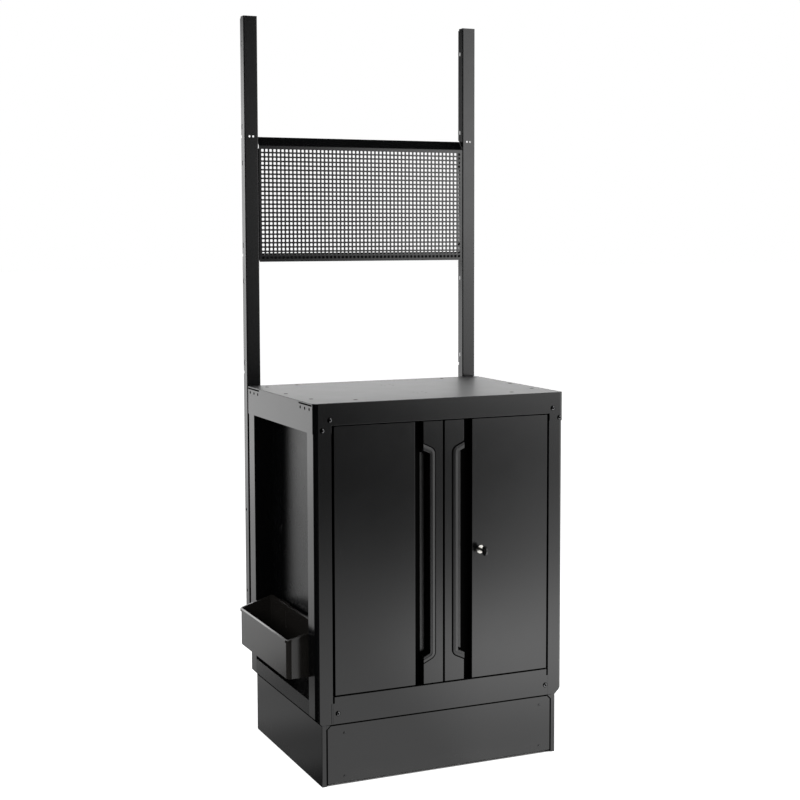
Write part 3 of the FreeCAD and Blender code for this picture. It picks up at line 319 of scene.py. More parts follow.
# Rounding of the sharp edges: each has a width in metres and a number of steps
eased = {
    "flat": 0.5, "sharp": 32.0, "merge": 1e-6, "rejoin": 1e-7, "near": 1e-5, "steps": 2,
    "front": -0.2585, "openingHigh": 0.934, "openingHalf": 0.3195, "railHigh": 0.2325, "sillFace": 0.1795,
    "turned": (0.0012, 4), "cap": (0.0004, 2), "rail": (0.0006, 2), "bin": (0.0014, 4), "sill": (0.0005, 2),
    "top": (0.0009, 3), "topUnder": (0.0004, 2), "topShortest": 0.0005, "skin": (0.0005, 2), "bolt": 0.0008,
    "widths": {
        "plinth_cover": 0.0006, "plinth_side_left": 0.0014, "plinth_side_right": 0.0014,
        "plinth_back": 0.0008, "upright_left": 0.0006, "upright_right": 0.0006, "bin_hanger": 0.0006,
        "lock_barrel": 0.0008, "key_bow": 0.0016, "key_blade": 0.0003, "lock_plug": 0.0004,
        "wall_plug": 0.0008,
    },
}
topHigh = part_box("worktop")[1][2]


# Copy of a CAD node with its edges rounded: each pass has a width, its steps and the edges it takes
def easedCopy(name, passes, shaded=None, reshape=None):
    shape = bmesh.new()
    shape.from_mesh(nodes[name].data)
    bmesh.ops.remove_doubles(shape, verts=shape.verts, dist=eased["merge"])
    bmesh.ops.dissolve_limit(shape, angle_limit=math.radians(eased["flat"]), verts=shape.verts,
                             edges=shape.edges)
    for width, segments, chosen in passes:
        edges = [edge for edge in shape.edges if len(edge.link_faces) == 2
                 and edge.calc_face_angle(0) > math.radians(eased["sharp"]) and chosen(edge)]
        bmesh.ops.bevel(shape, geom=edges, offset=width, offset_type="OFFSET", segments=segments,
                        profile=0.5, affect="EDGES", clamp_overlap=True)
        bmesh.ops.remove_doubles(shape, verts=shape.verts, dist=eased["rejoin"])
    if reshape:
        reshape(shape)
    if shaded:
        for face in shape.faces:
            face.material_index = 1 if shaded(face.calc_center_median()) else 0
    mesh = meshOf(shape, "eased_" + name)
    smooth(mesh)
    item = newObject("eased_" + name, mesh, finishOf(name))
    if shaded:
        mesh.materials.append(paintedShadeCoat)
    settleNormals(item)
    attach(item, bodyOf[name])
    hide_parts(name)


def anyEdge(edge):
    return True


def reach(edge, axis):
    values = [corner.co[axis] for corner in edge.verts]
    return min(values), max(values)


# The turned edges round the doors' opening
def atOpening(edge):
    return (reach(edge, 1)[1] < eased["front"] and reach(edge, 2)[1] < eased["openingHigh"]
            and max(abs(value) for value in reach(edge, 0)) < eased["openingHalf"])


def atRailTop(edge):
    return reach(edge, 1)[1] < eased["front"] and reach(edge, 2)[0] > eased["railHigh"]


def onTop(edge):
    return reach(edge, 2)[0] > topHigh - eased["near"] and edge.calc_length() > eased["topShortest"]


# The left front corner is a tight fold with a slightly crowned strip of the front beside it
fold = {"inner": -0.3455, "line": 0.0003, "bend": 0.0096, "squash": 0.22, "lean": 8.0, "gauge": 0.003}


# Cuts the faces in front of a depth along an upright line
def splitFront(shape, place, depth):
    faces = [face for face in shape.faces if all(corner.co.y < depth for corner in face.verts)]
    edges = {edge for face in faces for edge in face.edges}
    corners = {corner for face in faces for corner in face.verts}
    bmesh.ops.bisect_plane(shape, geom=faces + list(edges) + list(corners), dist=eased["merge"],
                           plane_co=(place, 0, 0), plane_no=(1, 0, 0))


def crownCorner(front):
    def reshape(shape):
        for place in (fold["inner"], fold["inner"] - fold["line"]):
            splitFront(shape, place, front + fold["gauge"])
        for corner in shape.verts:
            away = fold["inner"] - corner.co.x
            if away > fold["line"] / 2 and corner.co.y < front + fold["bend"]:
                corner.co.y = (front + (corner.co.y - front) * fold["squash"]
                               + away * math.tan(math.radians(fold["lean"])))
    return reshape


for side in ("left", "right"):
    for level in ("lower", "upper"):
        eased["widths"][f"upright_bolt_{side}_{level}"] = eased["bolt"]
        eased["widths"][f"panel_screw_{side}_{level}"] = eased["bolt"]
for name, width in eased["widths"].items():
    easedCopy(name, [(width, eased["steps"], anyEdge)])
easedCopy("cap_frame", [(*eased["turned"], atOpening), (*eased["cap"], anyEdge)],
          reshape=crownCorner(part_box("cap_frame")[0][1]))
easedCopy("bottom_rail", [(*eased["turned"], atRailTop), (*eased["rail"], anyEdge)])
easedCopy("post_front_left", [(*eased["turned"], atOpening)],
          reshape=crownCorner(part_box("post_front_left")[0][1]))
easedCopy("post_front_right", [(*eased["turned"], atOpening)])
easedCopy("side_bin", [(*eased["bin"], anyEdge)])
# painted shade: the sill's faces below its front face are dull black, for the shade under the sill
easedCopy("recess_sill", [(*eased["sill"], anyEdge)], lambda spot: spot.z < eased["sillFace"])
easedCopy("worktop", [(*eased["top"], onTop), (*eased["topUnder"], anyEdge)])

# Painted shade on the doors: dull black in the finger channels, on the turned edges and on a strip of the
# face each side of the middle gap, which darkens and widens the gap
door = {"middle": 0.004, "front": -0.260, "skin": 0.00015, "gap": 0.0031, "gauge": 0.003}


def inDoorShade(spot):
    return spot.y > door["front"] + door["skin"] or abs(spot.x - door["middle"]) < door["gap"]


def splitBeside(shape):
    for side in (-1, 1):
        splitFront(shape, door["middle"] + door["gap"] * side, door["front"] + door["gauge"])


for side in ("left", "right"):
    easedCopy("door_skin_" + side, [(*eased["skin"], anyEdge)], inDoorShade, splitBeside)
print("edges rounded")


# Finger grip: a band swept round the end of a cup; a dull black line of painted shadow runs round its foot,
# the cup's walls are painted black as shade, and its face rises to a rounded ridge. The band is given in
# millimetres, as the set-in from the seam and the rise.
grip = {
    "seam": 0.023, "end": 0.059, "low": 0.290, "high": 0.875, "slope": 0.017, "turn": 0.021,
    "tightest": 0.0012, "steps": 8, "deep": 0.0237, "floor": 0.0014, "inner": 0.016, "smooth": 40.0,
    "band": ((0, 0), (0, 0.2), (3.0, 0.2), (3.1, 1.0), (3.4, 1.6), (4.0, 1.9), (6, 2.0), (9.4, 2.25),
             (9.9, 2.6), (10.7, 2.6), (11.2, 2.2), (14, 2.1), (16.8, 2.0), (17.5, 1.6), (18, 0.8),
             (24, -22.4), (22, -22.4), (16, 0)),
    "seal": (1, 2), "cup": (14, 16),
}


# Centre line of the seam in the door's face: up one slope, round, down the side, round and out
def gripPath(inset):
    seam, end = grip["seam"] + inset, grip["end"]
    rise = grip["slope"] / (grip["end"] - grip["seam"])
    lean = math.hypot(1, rise)
    low = grip["low"] + inset * lean
    high = grip["high"] - inset * lean
    run = end - grip["seam"] - inset
    corners = [Vector((end, high)), Vector((seam, high - rise * run)), Vector((seam, low + rise * run)),
               Vector((end, low))]
    points = [corners[0]]
    radius = max(grip["turn"] - inset, grip["tightest"])
    for before, here, after in zip(corners, corners[1:], corners[2:]):
        first, last = (before - here).normalized(), (after - here).normalized()
        reach = radius / math.tan(first.angle(last) / 2)
        start, stop = here + first * reach, here + last * reach
        centre = here + (first + last).normalized() * radius / math.sin(first.angle(last) / 2)
        sweep = (start - centre).angle_signed(stop - centre)
        for step in range(grip["steps"] + 1):
            arm = (start - centre).copy()
            turn = -sweep * step / grip["steps"]
            points.append(centre + Vector((arm.x * math.cos(turn) - arm.y * math.sin(turn),
                                           arm.x * math.sin(turn) + arm.y * math.cos(turn))))
    points.append(corners[-1])
    return points


def makeGrip(name, side):
    shape = bmesh.new()

    def spot(point, depth):
        return shape.verts.new((door["middle"] + point.x * side, door["front"] + depth, point.y))

    rings = [[spot(point, -rise / 1000) for point in gripPath(inset / 1000)] for inset, rise in grip["band"]]
    for number, (ring, following) in enumerate(zip(rings, rings[1:] + rings[:1])):
        # painted shade: the seam's foot and the cup's walls take the dull black
        inShade = any(first <= number <= last for first, last in (grip["seal"], grip["cup"]))
        for k in range(len(ring) - 1):
            face = shape.faces.new([ring[k], ring[k + 1], following[k + 1], following[k]])
            face.material_index = 1 if inShade else 0
    for end in (0, -1):
        shape.faces.new([ring[end] for ring in rings])
    outline = gripPath(grip["inner"])
    front = [spot(point, grip["deep"] - grip["floor"]) for point in outline]
    back = [spot(point, grip["deep"]) for point in outline]
    shape.faces.new(front)
    shape.faces.new(back[::-1])
    for k in range(len(front)):
        following = (k + 1) % len(front)
        shape.faces.new([front[k], front[following], back[following], back[k]])
    bmesh.ops.recalc_face_normals(shape, faces=shape.faces)
    mesh = meshOf(shape, name)
    smooth(mesh, grip["smooth"])
    item = newObject(name, mesh, gripPlastic)
    mesh.materials.append(paintedShadeCoat)
    settleNormals(item)
    return item


for word, side in (("left", -1), ("right", 1)):
    item = makeGrip("grip_" + word, side)
    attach(item, "door_" + word)
    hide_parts("door_grip_" + word)
print("finger grips made")


# Geometry Nodes: a tree gets named inputs, ends in real geometry with its material, and is run on a mesh
def startTree(name, inputs):
    tree = bpy.data.node_groups.new(name, "GeometryNodeTree")
    tree.interface.new_socket("Geometry", in_out="INPUT", socket_type="NodeSocketGeometry")
    for label, (kind, value) in inputs.items():
        socket = tree.interface.new_socket(label, in_out="INPUT", socket_type=kind)
        if value is not None:
            socket.default_value = value
    tree.interface.new_socket("Geometry", in_out="OUTPUT", socket_type="NodeSocketGeometry")
    graph = Graph(tree)
    return tree, graph, graph.add("NodeGroupInput")


def endTree(graph, geometry, given):
    real = graph.add("GeometryNodeRealizeInstances", {}, {"Geometry": geometry})["Geometry"]
    painted = graph.add("GeometryNodeSetMaterial", {},
                        {"Geometry": real, "Material": given["Material"]})["Geometry"]
    graph.add("NodeGroupOutput", {}, {"Geometry": painted})


def runTree(name, tree, values, mesh):
    carrier = newObject(name + "Carrier", mesh, None)
    modifier = carrier.modifiers.new("tree", "NODES")
    modifier.node_group = tree
    for item in tree.interface.items_tree:
        if item.in_out == "INPUT" and item.name in values:
            modifier[item.identifier] = values[item.name]
    depsgraph = bpy.context.evaluated_depsgraph_get()
    result = bpy.data.meshes.new_from_object(carrier.evaluated_get(depsgraph), depsgraph=depsgraph)
    carrier.modifiers.clear()
    bpy.data.objects.remove(carrier)
    shape = bmesh.new()
    shape.from_mesh(result)
    bmesh.ops.remove_doubles(shape, verts=shape.verts, dist=eased["merge"])
    bmesh.ops.recalc_face_normals(shape, faces=shape.faces)
    shape.to_mesh(result)
    shape.free()
    smooth(result)
    return newObject(name, result, values["Material"])


# Face of the panel: one sheet with its square holes, drawn flat and stood up
panel = {
    "columns": 52, "rows": 26, "pitch": 0.012, "hole": 0.0074, "corner": 0.0011, "gauge": 0.0015,
    "low": 1.336, "high": 1.663, "bend": 0.0022, "lip": 0.023, "lipRise": 0.025, "lipBend": 0.0018,
    "bendSteps": 6, "sideEnd": 0.008, "sideDeep": 0.029, "sideEdge": 0.0004,
}
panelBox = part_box("perforated_panel")
panelFront = panelBox[0][1]


def makePanelFace():
    tree, graph, given = startTree("panelFace", {
        "Columns": ("NodeSocketInt", 10), "Rows": ("NodeSocketInt", 10), "Pitch": ("NodeSocketFloat", 0.012),
        "Hole": ("NodeSocketFloat", 0.007), "Corner": ("NodeSocketFloat", 0.001),
        "Width": ("NodeSocketFloat", 0.6), "Rise": ("NodeSocketFloat", 0.3),
        "Gauge": ("NodeSocketFloat", 0.0015),
        "Place": ("NodeSocketVector", (0, 0, 0)), "Material": ("NodeSocketMaterial", None)})
    outline = graph.add("GeometryNodeCurvePrimitiveQuadrilateral", {},
                        {"Width": given["Width"], "Height": given["Rise"]})["Curve"]
    hole = graph.add("GeometryNodeCurvePrimitiveQuadrilateral", {},
                     {"Width": given["Hole"], "Height": given["Hole"]})["Curve"]
    hole = graph.add("GeometryNodeFilletCurve", {"mode": "POLY"},
                     {"Curve": hole, "Count": 1, "Radius": given["Corner"]})["Curve"]
    across = (given["Columns"] - 1) * given["Pitch"]
    up = (given["Rows"] - 1) * given["Pitch"]
    grid = graph.add("GeometryNodeMeshGrid", {}, {"Size X": across, "Size Y": up,
                     "Vertices X": given["Columns"], "Vertices Y": given["Rows"]})["Mesh"]
    holes = graph.add("GeometryNodeInstanceOnPoints", {}, {"Points": grid, "Instance": hole})["Instances"]
    holes = graph.add("GeometryNodeRealizeInstances", {}, {"Geometry": holes})["Geometry"]
    drawn = graph.add("GeometryNodeJoinGeometry", {}, {"Geometry": [outline, holes]})["Geometry"]
    sheet = graph.add("GeometryNodeFillCurve", {}, {"Curve": drawn})["Mesh"]
    raised = graph.add("GeometryNodeExtrudeMesh", {"mode": "FACES"},
                       {"Mesh": sheet, "Offset Scale": given["Gauge"], "Individual": False})["Mesh"]
    under = graph.add("GeometryNodeFlipFaces", {}, {"Mesh": sheet})["Mesh"]
    solid = graph.add("GeometryNodeJoinGeometry", {}, {"Geometry": [raised, under]})["Geometry"]
    stood = graph.add("GeometryNodeTransform", {}, {"Geometry": solid, "Translation": given["Place"],
                      "Rotation": (math.radians(90), 0, 0)})["Geometry"]
    endTree(graph, stood, given)
    return runTree("panelFace", tree, {
        "Columns": panel["columns"], "Rows": panel["rows"], "Pitch": panel["pitch"], "Hole": panel["hole"],
        "Corner": panel["corner"], "Width": panelBox[1][0] - panelBox[0][0],
        "Rise": panel["high"] - panel["low"] - 2 * panel["bend"], "Gauge": panel["gauge"],
        "Place": (0.0, panelFront + panel["gauge"], (panel["low"] + panel["high"]) / 2),
        "Material": bodyCoat}, bpy.data.meshes.new("flat"))


panelPieces = [makePanelFace()]
print("panel face:", len(panelPieces[0].data.vertices), "points")


# Closed strip of sheet along a path in the Y-Z plane, with its corners rolled
def sheetStrip(name, path, side):
    left, right = panelBox[0][0], panelBox[1][0]
    points = []
    for index, point in enumerate(path):
        if index in (0, len(path) - 1):
            points.append(Vector(point))
            continue
        here, before, after = Vector(point), Vector(path[index - 1]), Vector(path[index + 1])
        first, last = (before - here).normalized(), (after - here).normalized()
        reach = panel["lipBend"] * math.tan((math.pi - first.angle(last)) / 2)
        for step in range(panel["bendSteps"] + 1):
            share = step / panel["bendSteps"]
            points.append((here + first * reach) * (1 - share) ** 2 + here * 2 * share * (1 - share)
                          + (here + last * reach) * share ** 2)
    inner = []
    for index, point in enumerate(points):
        before = points[max(index - 1, 0)]
        after = points[min(index + 1, len(points) - 1)]
        run = (after - before).normalized()
        inner.append(point + Vector((-run.y, run.x)) * panel["gauge"] * side)
    ring = points + inner[::-1]
    shape = bmesh.new()
    ends = [[shape.verts.new((x, y, z)) for y, z in ring] for x in (left, right)]
    count = len(ring)
    for index in range(count):
        following = (index + 1) % count
        shape.faces.new([ends[0][index], ends[0][following], ends[1][following], ends[1][index]])
    half = len(points)
    for end in ends:
        for index in range(half - 1):
            shape.faces.new([end[index], end[index + 1], end[count - 2 - index], end[count - 1 - index]])
    bmesh.ops.recalc_face_normals(shape, faces=shape.faces)
    mesh = meshOf(shape, name)
    smooth(mesh)
    return newObject(name, mesh, bodyCoat)


for name, edge, way in (("panelLipUpper", panel["high"], 1), ("panelLipLower", panel["low"], -1)):
    path = [(panelFront, edge - panel["bend"] * way), (panelFront, edge),
            (panelFront + panel["lip"], edge + panel["lipRise"])]
    panelPieces.append(sheetStrip(name, path, -way))


# Box with its edges rounded
def makeBlock(name, low, high, material, bevel):
    shape = bmesh.new()
    bmesh.ops.create_cube(shape, size=1.0)
    centre = (Vector(low) + Vector(high)) / 2
    reach = Vector(high) - Vector(low)
    bmesh.ops.scale(shape, vec=reach, verts=shape.verts)
    bmesh.ops.translate(shape, vec=centre, verts=shape.verts)
    bmesh.ops.bevel(shape, geom=shape.edges[:], offset=bevel, segments=2, profile=0.5, affect="EDGES")
    mesh = meshOf(shape, name)
    smooth(mesh)
    return newObject(name, mesh, material)


for name, edge, way in (("panelSideLeft", panelBox[0][0], 1), ("panelSideRight", panelBox[1][0], -1)):
    near, far = sorted((edge, edge + panel["gauge"] * way))
    panelPieces.append(makeBlock(name, (near, panelFront + panel["gauge"], panel["low"] + panel["sideEnd"]),
                                 (far, panelFront + panel["sideDeep"], panel["high"] - panel["sideEnd"]),
                                 bodyCoat, panel["sideEdge"]))
for piece in panelPieces:
    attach(piece, "cabinet")
    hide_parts("perforated_panel")
print("perforated panel made")


# Screw heads: a domed head with a hexagonal socket, copied to every place and turned to its face
screw = {
    "radius": 0.0056, "rise": 0.0030, "socket": 0.0031, "sunk": 0.0016, "hollow": 0.0030, "count": 24,
    "profile": ((1.0, 0.0), (1.0, 0.28), (0.94, 0.55), (0.8, 0.82), (0.6, 1.0)),
    "middle": 0.004, "front": -0.261, "frontLow": -0.2592, "cover": -0.258, "leftShift": 0.0055,
    "spin": 3.0, "seed": 4,
    # distance from the middle, height, the face that it sits on and the share of the full size
    "spots": ((0.324, 0.947, "front", 1.0), (0.3445, 0.921, "front", 1.0), (0.3057, 0.1895, "frontLow", 1.0),
              (0.2875, 0.136, "cover", 0.5), (0.2875, 0.022, "cover", 0.5)),
}


# Closed shape from rings of points, the first and the last filled
def shapeOfRings(name, rings):
    shape = bmesh.new()
    rings = [[shape.verts.new(point) for point in ring] for ring in rings]
    for lower, upper in zip(rings, rings[1:]):
        for k in range(len(lower)):
            following = (k + 1) % len(lower)
            shape.faces.new([lower[k], lower[following], upper[following], upper[k]])
    shape.faces.new(rings[0][::-1])
    shape.faces.new(rings[-1])
    return newObject(name, meshOf(shape, name), None)


def ringOfPoints(radius, height, count):
    return [(radius * math.cos(math.tau * k / count), radius * math.sin(math.tau * k / count), height)
            for k in range(count)]


def screwHead():
    count = screw["count"]
    rings = [ringOfPoints(screw["radius"] * share, screw["rise"] * rise, count)
             for share, rise in screw["profile"]]
    for depth in (screw["rise"], screw["rise"] - screw["sunk"]):
        ring = []
        for k in range(count):
            turn = math.tau * k / count
            flat = screw["socket"] / math.cos((turn % (math.pi / 3)) - math.pi / 6) * math.cos(math.pi / 6)
            ring.append((flat * math.cos(turn), flat * math.sin(turn), depth))
        rings.append(ring)
    return shapeOfRings("screwHead", rings)


# One head copied to every spot, each with its own size and a spin about its axis
def makeCopies(name, head, spots, turn, spin, material):
    tree, graph, given = startTree(name + "Tree", {
        "Head": ("NodeSocketObject", None), "Turn": ("NodeSocketVector", (0, 0, 0)),
        "Spin": ("NodeSocketFloat", 3.0), "Seed": ("NodeSocketInt", 1),
        "Material": ("NodeSocketMaterial", None)})
    points = graph.add("GeometryNodeMeshToPoints", {}, {"Mesh": given["Geometry"]})["Points"]
    shape = graph.add("GeometryNodeObjectInfo", {}, {"Object": given["Head"]})["Geometry"]
    random = graph.add("FunctionNodeRandomValue", {"data_type": "FLOAT"},
                       {3: given["Spin"], "Seed": given["Seed"]})[1]
    roll = graph.add("ShaderNodeCombineXYZ", {}, {"Z": random})["Vector"]
    scale = graph.add("GeometryNodeInputNamedAttribute", {"data_type": "FLOAT"},
                      {"Name": "scale"})["Attribute"]
    placed = graph.add("GeometryNodeInstanceOnPoints", {}, {"Points": points, "Instance": shape,
                       "Rotation": given["Turn"], "Scale": scale})["Instances"]
    placed = graph.add("GeometryNodeRotateInstances", {},
                       {"Instances": placed, "Rotation": roll})["Instances"]
    endTree(graph, placed, given)
    mesh = bpy.data.meshes.new(name + "Spots")
    mesh.from_pydata([spot[:3] for spot in spots], [], [])
    sizes = mesh.attributes.new("scale", "FLOAT", "POINT")
    sizes.data.foreach_set("value", [spot[3] for spot in spots])
    item = runTree(name, tree, {"Head": head, "Turn": turn, "Spin": spin, "Seed": screw["seed"],
                                "Material": material}, mesh)
    bpy.data.objects.remove(head)
    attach(item, "cabinet")


toFront = (math.radians(90), 0, 0)
frontSpots = [(screw["middle"] + across * side + shift, screw[along], up, scale)
              for side, shift in ((-1, screw["leftShift"]), (1, 0.0))
              for across, up, along, scale in screw["spots"]]
makeCopies("frontScrews", screwHead(), frontSpots, toFront, screw["spin"], screwBlack)
print("front screws:", len(frontSpots))

# Painted shade: dark rings lie under the front's screws and black discs sit in their sockets, and flat black
# discs and strips fill the small holes and slots of the cap's sides, the uprights' sides and the worktop's
# dimples, standing for the shade inside them
holeShade = {
    "thick": 0.15, "rim": 0.93, "wall": 0.7, "count": 18, "proud": 0.00025, "fill": 0.45, "washer": 0.0068,
    "half": 0.261, "side": 0.360, "end": 0.026, "pitch": 0.0325, "row": 3, "up": 0.974, "skirt": 0.0042,
    "slotEnd": 0.0088, "slotFar": 0.102, "slotLow": 0.9824, "slotHigh": 0.9864, "edge": 0.0001,
    "upright": 0.358, "uprightAlong": 0.2885, "uprightUps": (0.400, 0.634), "uprightRadius": 0.0042,
    "middle": 0.004, "dimple": 0.0060, "dimpleUp": 0.98925,
    "shares": ((0.9, 0.79), (0.94, 0.04), (0.9, -0.55), (0.63, 0.88), (0.63, -0.8)),
}


# Disc of radius 1: its thickness is a share of the radius
def plugDisc(thick=holeShade["thick"]):
    rings = [ringOfPoints(1.0, 0.0, holeShade["count"]), ringOfPoints(1.0, thick * holeShade["wall"], holeShade["count"]),
             ringOfPoints(holeShade["rim"], thick, holeShade["count"])]
    return shapeOfRings("plugDisc", rings)


# How far a shade disc's foot lies behind its face
def sunk(radius):
    return holeShade["thick"] * radius - holeShade["proud"]


ringShadeSpots = [(x, y, z, holeShade["washer"] * scale) for x, y, z, scale in frontSpots]
makeCopies("washers", plugDisc(), ringShadeSpots, toFront, 0.0, paintedShadeBlack)
socketShadeSpots = [(x, y - (screw["rise"] - screw["sunk"]) * scale, z, screw["hollow"] * scale)
               for x, y, z, scale in frontSpots]
makeCopies("screwSockets", plugDisc(holeShade["fill"]), socketShadeSpots, toFront, 0.0, paintedShadeBlack)
for word, side in (("Left", -1), ("Right", 1)):
    depth = side * (holeShade["side"] - sunk(holeShade["skirt"]))
    spots = [(depth, way * (holeShade["half"] - holeShade["end"] - holeShade["pitch"] * step), holeShade["up"], holeShade["skirt"])
             for step in range(holeShade["row"]) for way in (-1, 1)]
    foot = side * (holeShade["upright"] - sunk(holeShade["uprightRadius"]))
    spots += [(foot, holeShade["uprightAlong"], up, holeShade["uprightRadius"]) for up in holeShade["uprightUps"]]
    makeCopies("sidePlugs" + word, plugDisc(), spots, (0, side * math.radians(90), 0), 0.0, paintedShadeBlack)
    for way, place in ((-1, "Front"), (1, "Rear")):
        ends = sorted(way * (holeShade["half"] - holeShade[end]) for end in ("slotEnd", "slotFar"))
        near, far = sorted((depth, side * (holeShade["side"] + holeShade["proud"])))
        strip = makeBlock("slotStrip" + word + place, (near, ends[0], holeShade["slotLow"]),
                          (far, ends[1], holeShade["slotHigh"]), paintedShadeBlack, holeShade["edge"])
        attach(strip, "cabinet")
spots = [(holeShade["middle"] + holeShade["side"] * across * side, holeShade["half"] * along, holeShade["dimpleUp"],
          holeShade["dimple"]) for across, along in holeShade["shares"] for side in (-1, 1)]
makeCopies("topPlugs", plugDisc(), spots, (0, 0, 0), 0.0, paintedShadeBlack)
print("plugs made")

# Shadow lines of the plinth: under the posts and the sill, and beside and above its cover, whose cut
# corners are backed by small triangles of the plinth's lips; the last line is the rail's left end
plinth = {
    "side": 0.3402, "low": 0.1600, "high": 0.1620, "along": (-0.2570, 0.2600),
    "proud": 0.00025, "deep": 0.0006, "front": -0.258,
    "gap": (0.3244, 0.3285), "gapLow": 0.004, "cut": 0.1485,
    "top": 0.1607, "topGap": 0.0028, "topUp": 0.001, "corner": 0.0155, "line": 0.0044,
    "gauge": 0.001, "edge": 0.0001,
    "seam": (-0.3143, -0.3135), "seamUp": (0.1640, 0.2160), "seamFront": -0.2592,
}


# Triangular plate with its right angle at the cover's top outer corner
def makeTriangle(name, side, size, front, back, material):
    shape = bmesh.new()
    outer, high = plinth["gap"][1], plinth["top"]
    flat = [(side * outer, high), (side * outer, high - size), (side * (outer - size), high)]
    ends = [[shape.verts.new((x, y, z)) for x, z in flat] for y in (front, back)]
    for end in ends:
        shape.faces.new(end)
    for k in range(3):
        following = (k + 1) % 3
        shape.faces.new([ends[0][k], ends[0][following], ends[1][following], ends[1][k]])
    bmesh.ops.recalc_face_normals(shape, faces=shape.faces)
    return newObject(name, meshOf(shape, name), material)


line = plinth["front"] - plinth["proud"]
back = plinth["front"] + plinth["gauge"]
for word, side in (("Left", -1), ("Right", 1)):
    near, far = sorted((side * (plinth["side"] + plinth["proud"]), side * (plinth["side"] - plinth["deep"])))
    pieces = [makeBlock("plinthShadow" + word, (near, plinth["along"][0], plinth["low"]),
                        (far, plinth["along"][1], plinth["high"]), paintedShadeBlack, plinth["edge"])]
    near, far = sorted(side * value for value in plinth["gap"])
    pieces.append(makeBlock("coverShadow" + word, (near, line, plinth["gapLow"]), (far, back, plinth["cut"]),
                            paintedShadeBlack, plinth["edge"]))
    pieces.append(makeTriangle("cornerShadow" + word, side, plinth["corner"], line, back, paintedShadeBlack))
    for piece in pieces:
        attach(piece, "cabinet")
    lip = makeTriangle("lipCorner" + word, side, plinth["corner"] - plinth["line"], line - plinth["proud"],
                       back, bodyCoat)
    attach(lip, "cabinet")
edge = plinth["gap"][1] - plinth["corner"] + plinth["topGap"]
strip = makeBlock("coverShadowTop", (-edge, line, plinth["top"] - plinth["topGap"]),
                  (edge, back, plinth["top"] + plinth["topUp"]), paintedShadeBlack, plinth["edge"])
# painted shadow: a black line at the rail's left end
seam = makeBlock("railSeam",
                 (plinth["seam"][0], plinth["seamFront"] - plinth["proud"], plinth["seamUp"][0]),
                 (plinth["seam"][1], plinth["seamFront"] + plinth["gauge"], plinth["seamUp"][1]),
                 paintedShadeBlack, plinth["edge"])
for piece in (strip, seam):
    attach(piece, "cabinet")
print("plinth lines made")

# Stage: a pale floor and a white world for the camera; what the gloss sees is a ring of light and dark
# bands, a roof behind and at the right, and a floor that glows in patches. Most pairs are the start and
# end of a fade.
stage = {
    "floorSize": 60.0, "floorColour": 0.80, "floorLift": 0.80, "footAcross": (0.3395, 0.330),
    "footAlong": (0.2575, 0.250), "ambient": 0.34, "roomLevel": 0.01,
    "aroundStops": [(0.0, 0.004), (0.07, 0.004), (0.14, 0.05), (0.30, 0.06), (0.37, 0.02), (0.40, 0.015),
                    (0.432, 0.06), (0.442, 0.42), (0.452, 0.75), (0.48, 0.70), (0.53, 1.0), (0.60, 1.0),
                    (0.70, 0.60), (0.76, 0.25), (0.87, 0.45), (0.925, 0.63), (0.934, 0.53), (0.944, 0.20),
                    (0.955, 0.03), (1.0, 0.004)],
    "aroundLevel": 3.0, "coveTop": (0.18, 0.075),
    "frontTurn": ((0.905, 0.922), (0.940, 0.929)), "frontTop": (0.34, 0.16), "frontLevel": 2.0,
    "roofLevel": 3.4, "roofLow": (0.26, 0.40), "roofHigh": (0.86, 0.74),
    "roofBehind": (0.1, 0.4), "roofRight": (0.3, 0.6),
    # floor in front of the object
    "boxLevel": 1.7, "boxTurn": 17.0, "boxEdge": (-11.0, 12.0), "boxDrift": (12.0, 4.0),
    "boxDriftNear": (1.0, 3.0), "boxDriftFar": (3.0, 7.0), "boxReach": (0.4, 1.5), "boxNear": 0.2,
    "nearLevel": 1.12, "nearReach": (3.9, 0.7), "midLevel": 0.17, "midReach": (5.5, 3.0), "plainLevel": 0.16,
    "farLevel": 1.55, "farReach": (6.0, 14.0), "farTurn": (19.0, 27.0),
    "corner": (0.36, 0.26), "cornerTurn": (9.0, 18.0), "cornerEnd": (130.0, 105.0),
    # floor behind it; each step has its start and end and what it adds
    "behindEdge": (-0.27, -0.24), "behindLevel": 0.04,
    "behindSteps": ((-0.25, 0.0, 0.14), (0.1, 0.4, 0.14), (0.55, 1.2, 0.30), (1.0, 2.4, 0.28),
                    (2.4, 6.0, 0.62)),
    "wing": (28.0, 14.0), "wingReach": (6.0, 1.0), "wingFade": (-12.0, 4.0), "wingNear": (1.3, 0.7),
    # lamps, all aimed at the same spot
    "aim": (0.0, 0.0, 0.8),
    "leftPower": 60.0, "leftSize": (2.4, 1.8), "leftPlace": (-3.1, -1.3, 1.9),
    "topPower": 40.0, "topSize": (2.6, 2.2), "topPlace": (0.2, -0.4, 3.7),
    "frontPower": 60.0, "frontSize": (2.0, 2.0), "frontPlace": (2.6, -3.4, 1.5),
}
degrees = 180 / math.pi


def paleRays(graph):
    path = graph.add("ShaderNodeLightPath")
    return path["Is Camera Ray"].atLeast(path["Is Transmission Ray"]), path["Is Glossy Ray"]


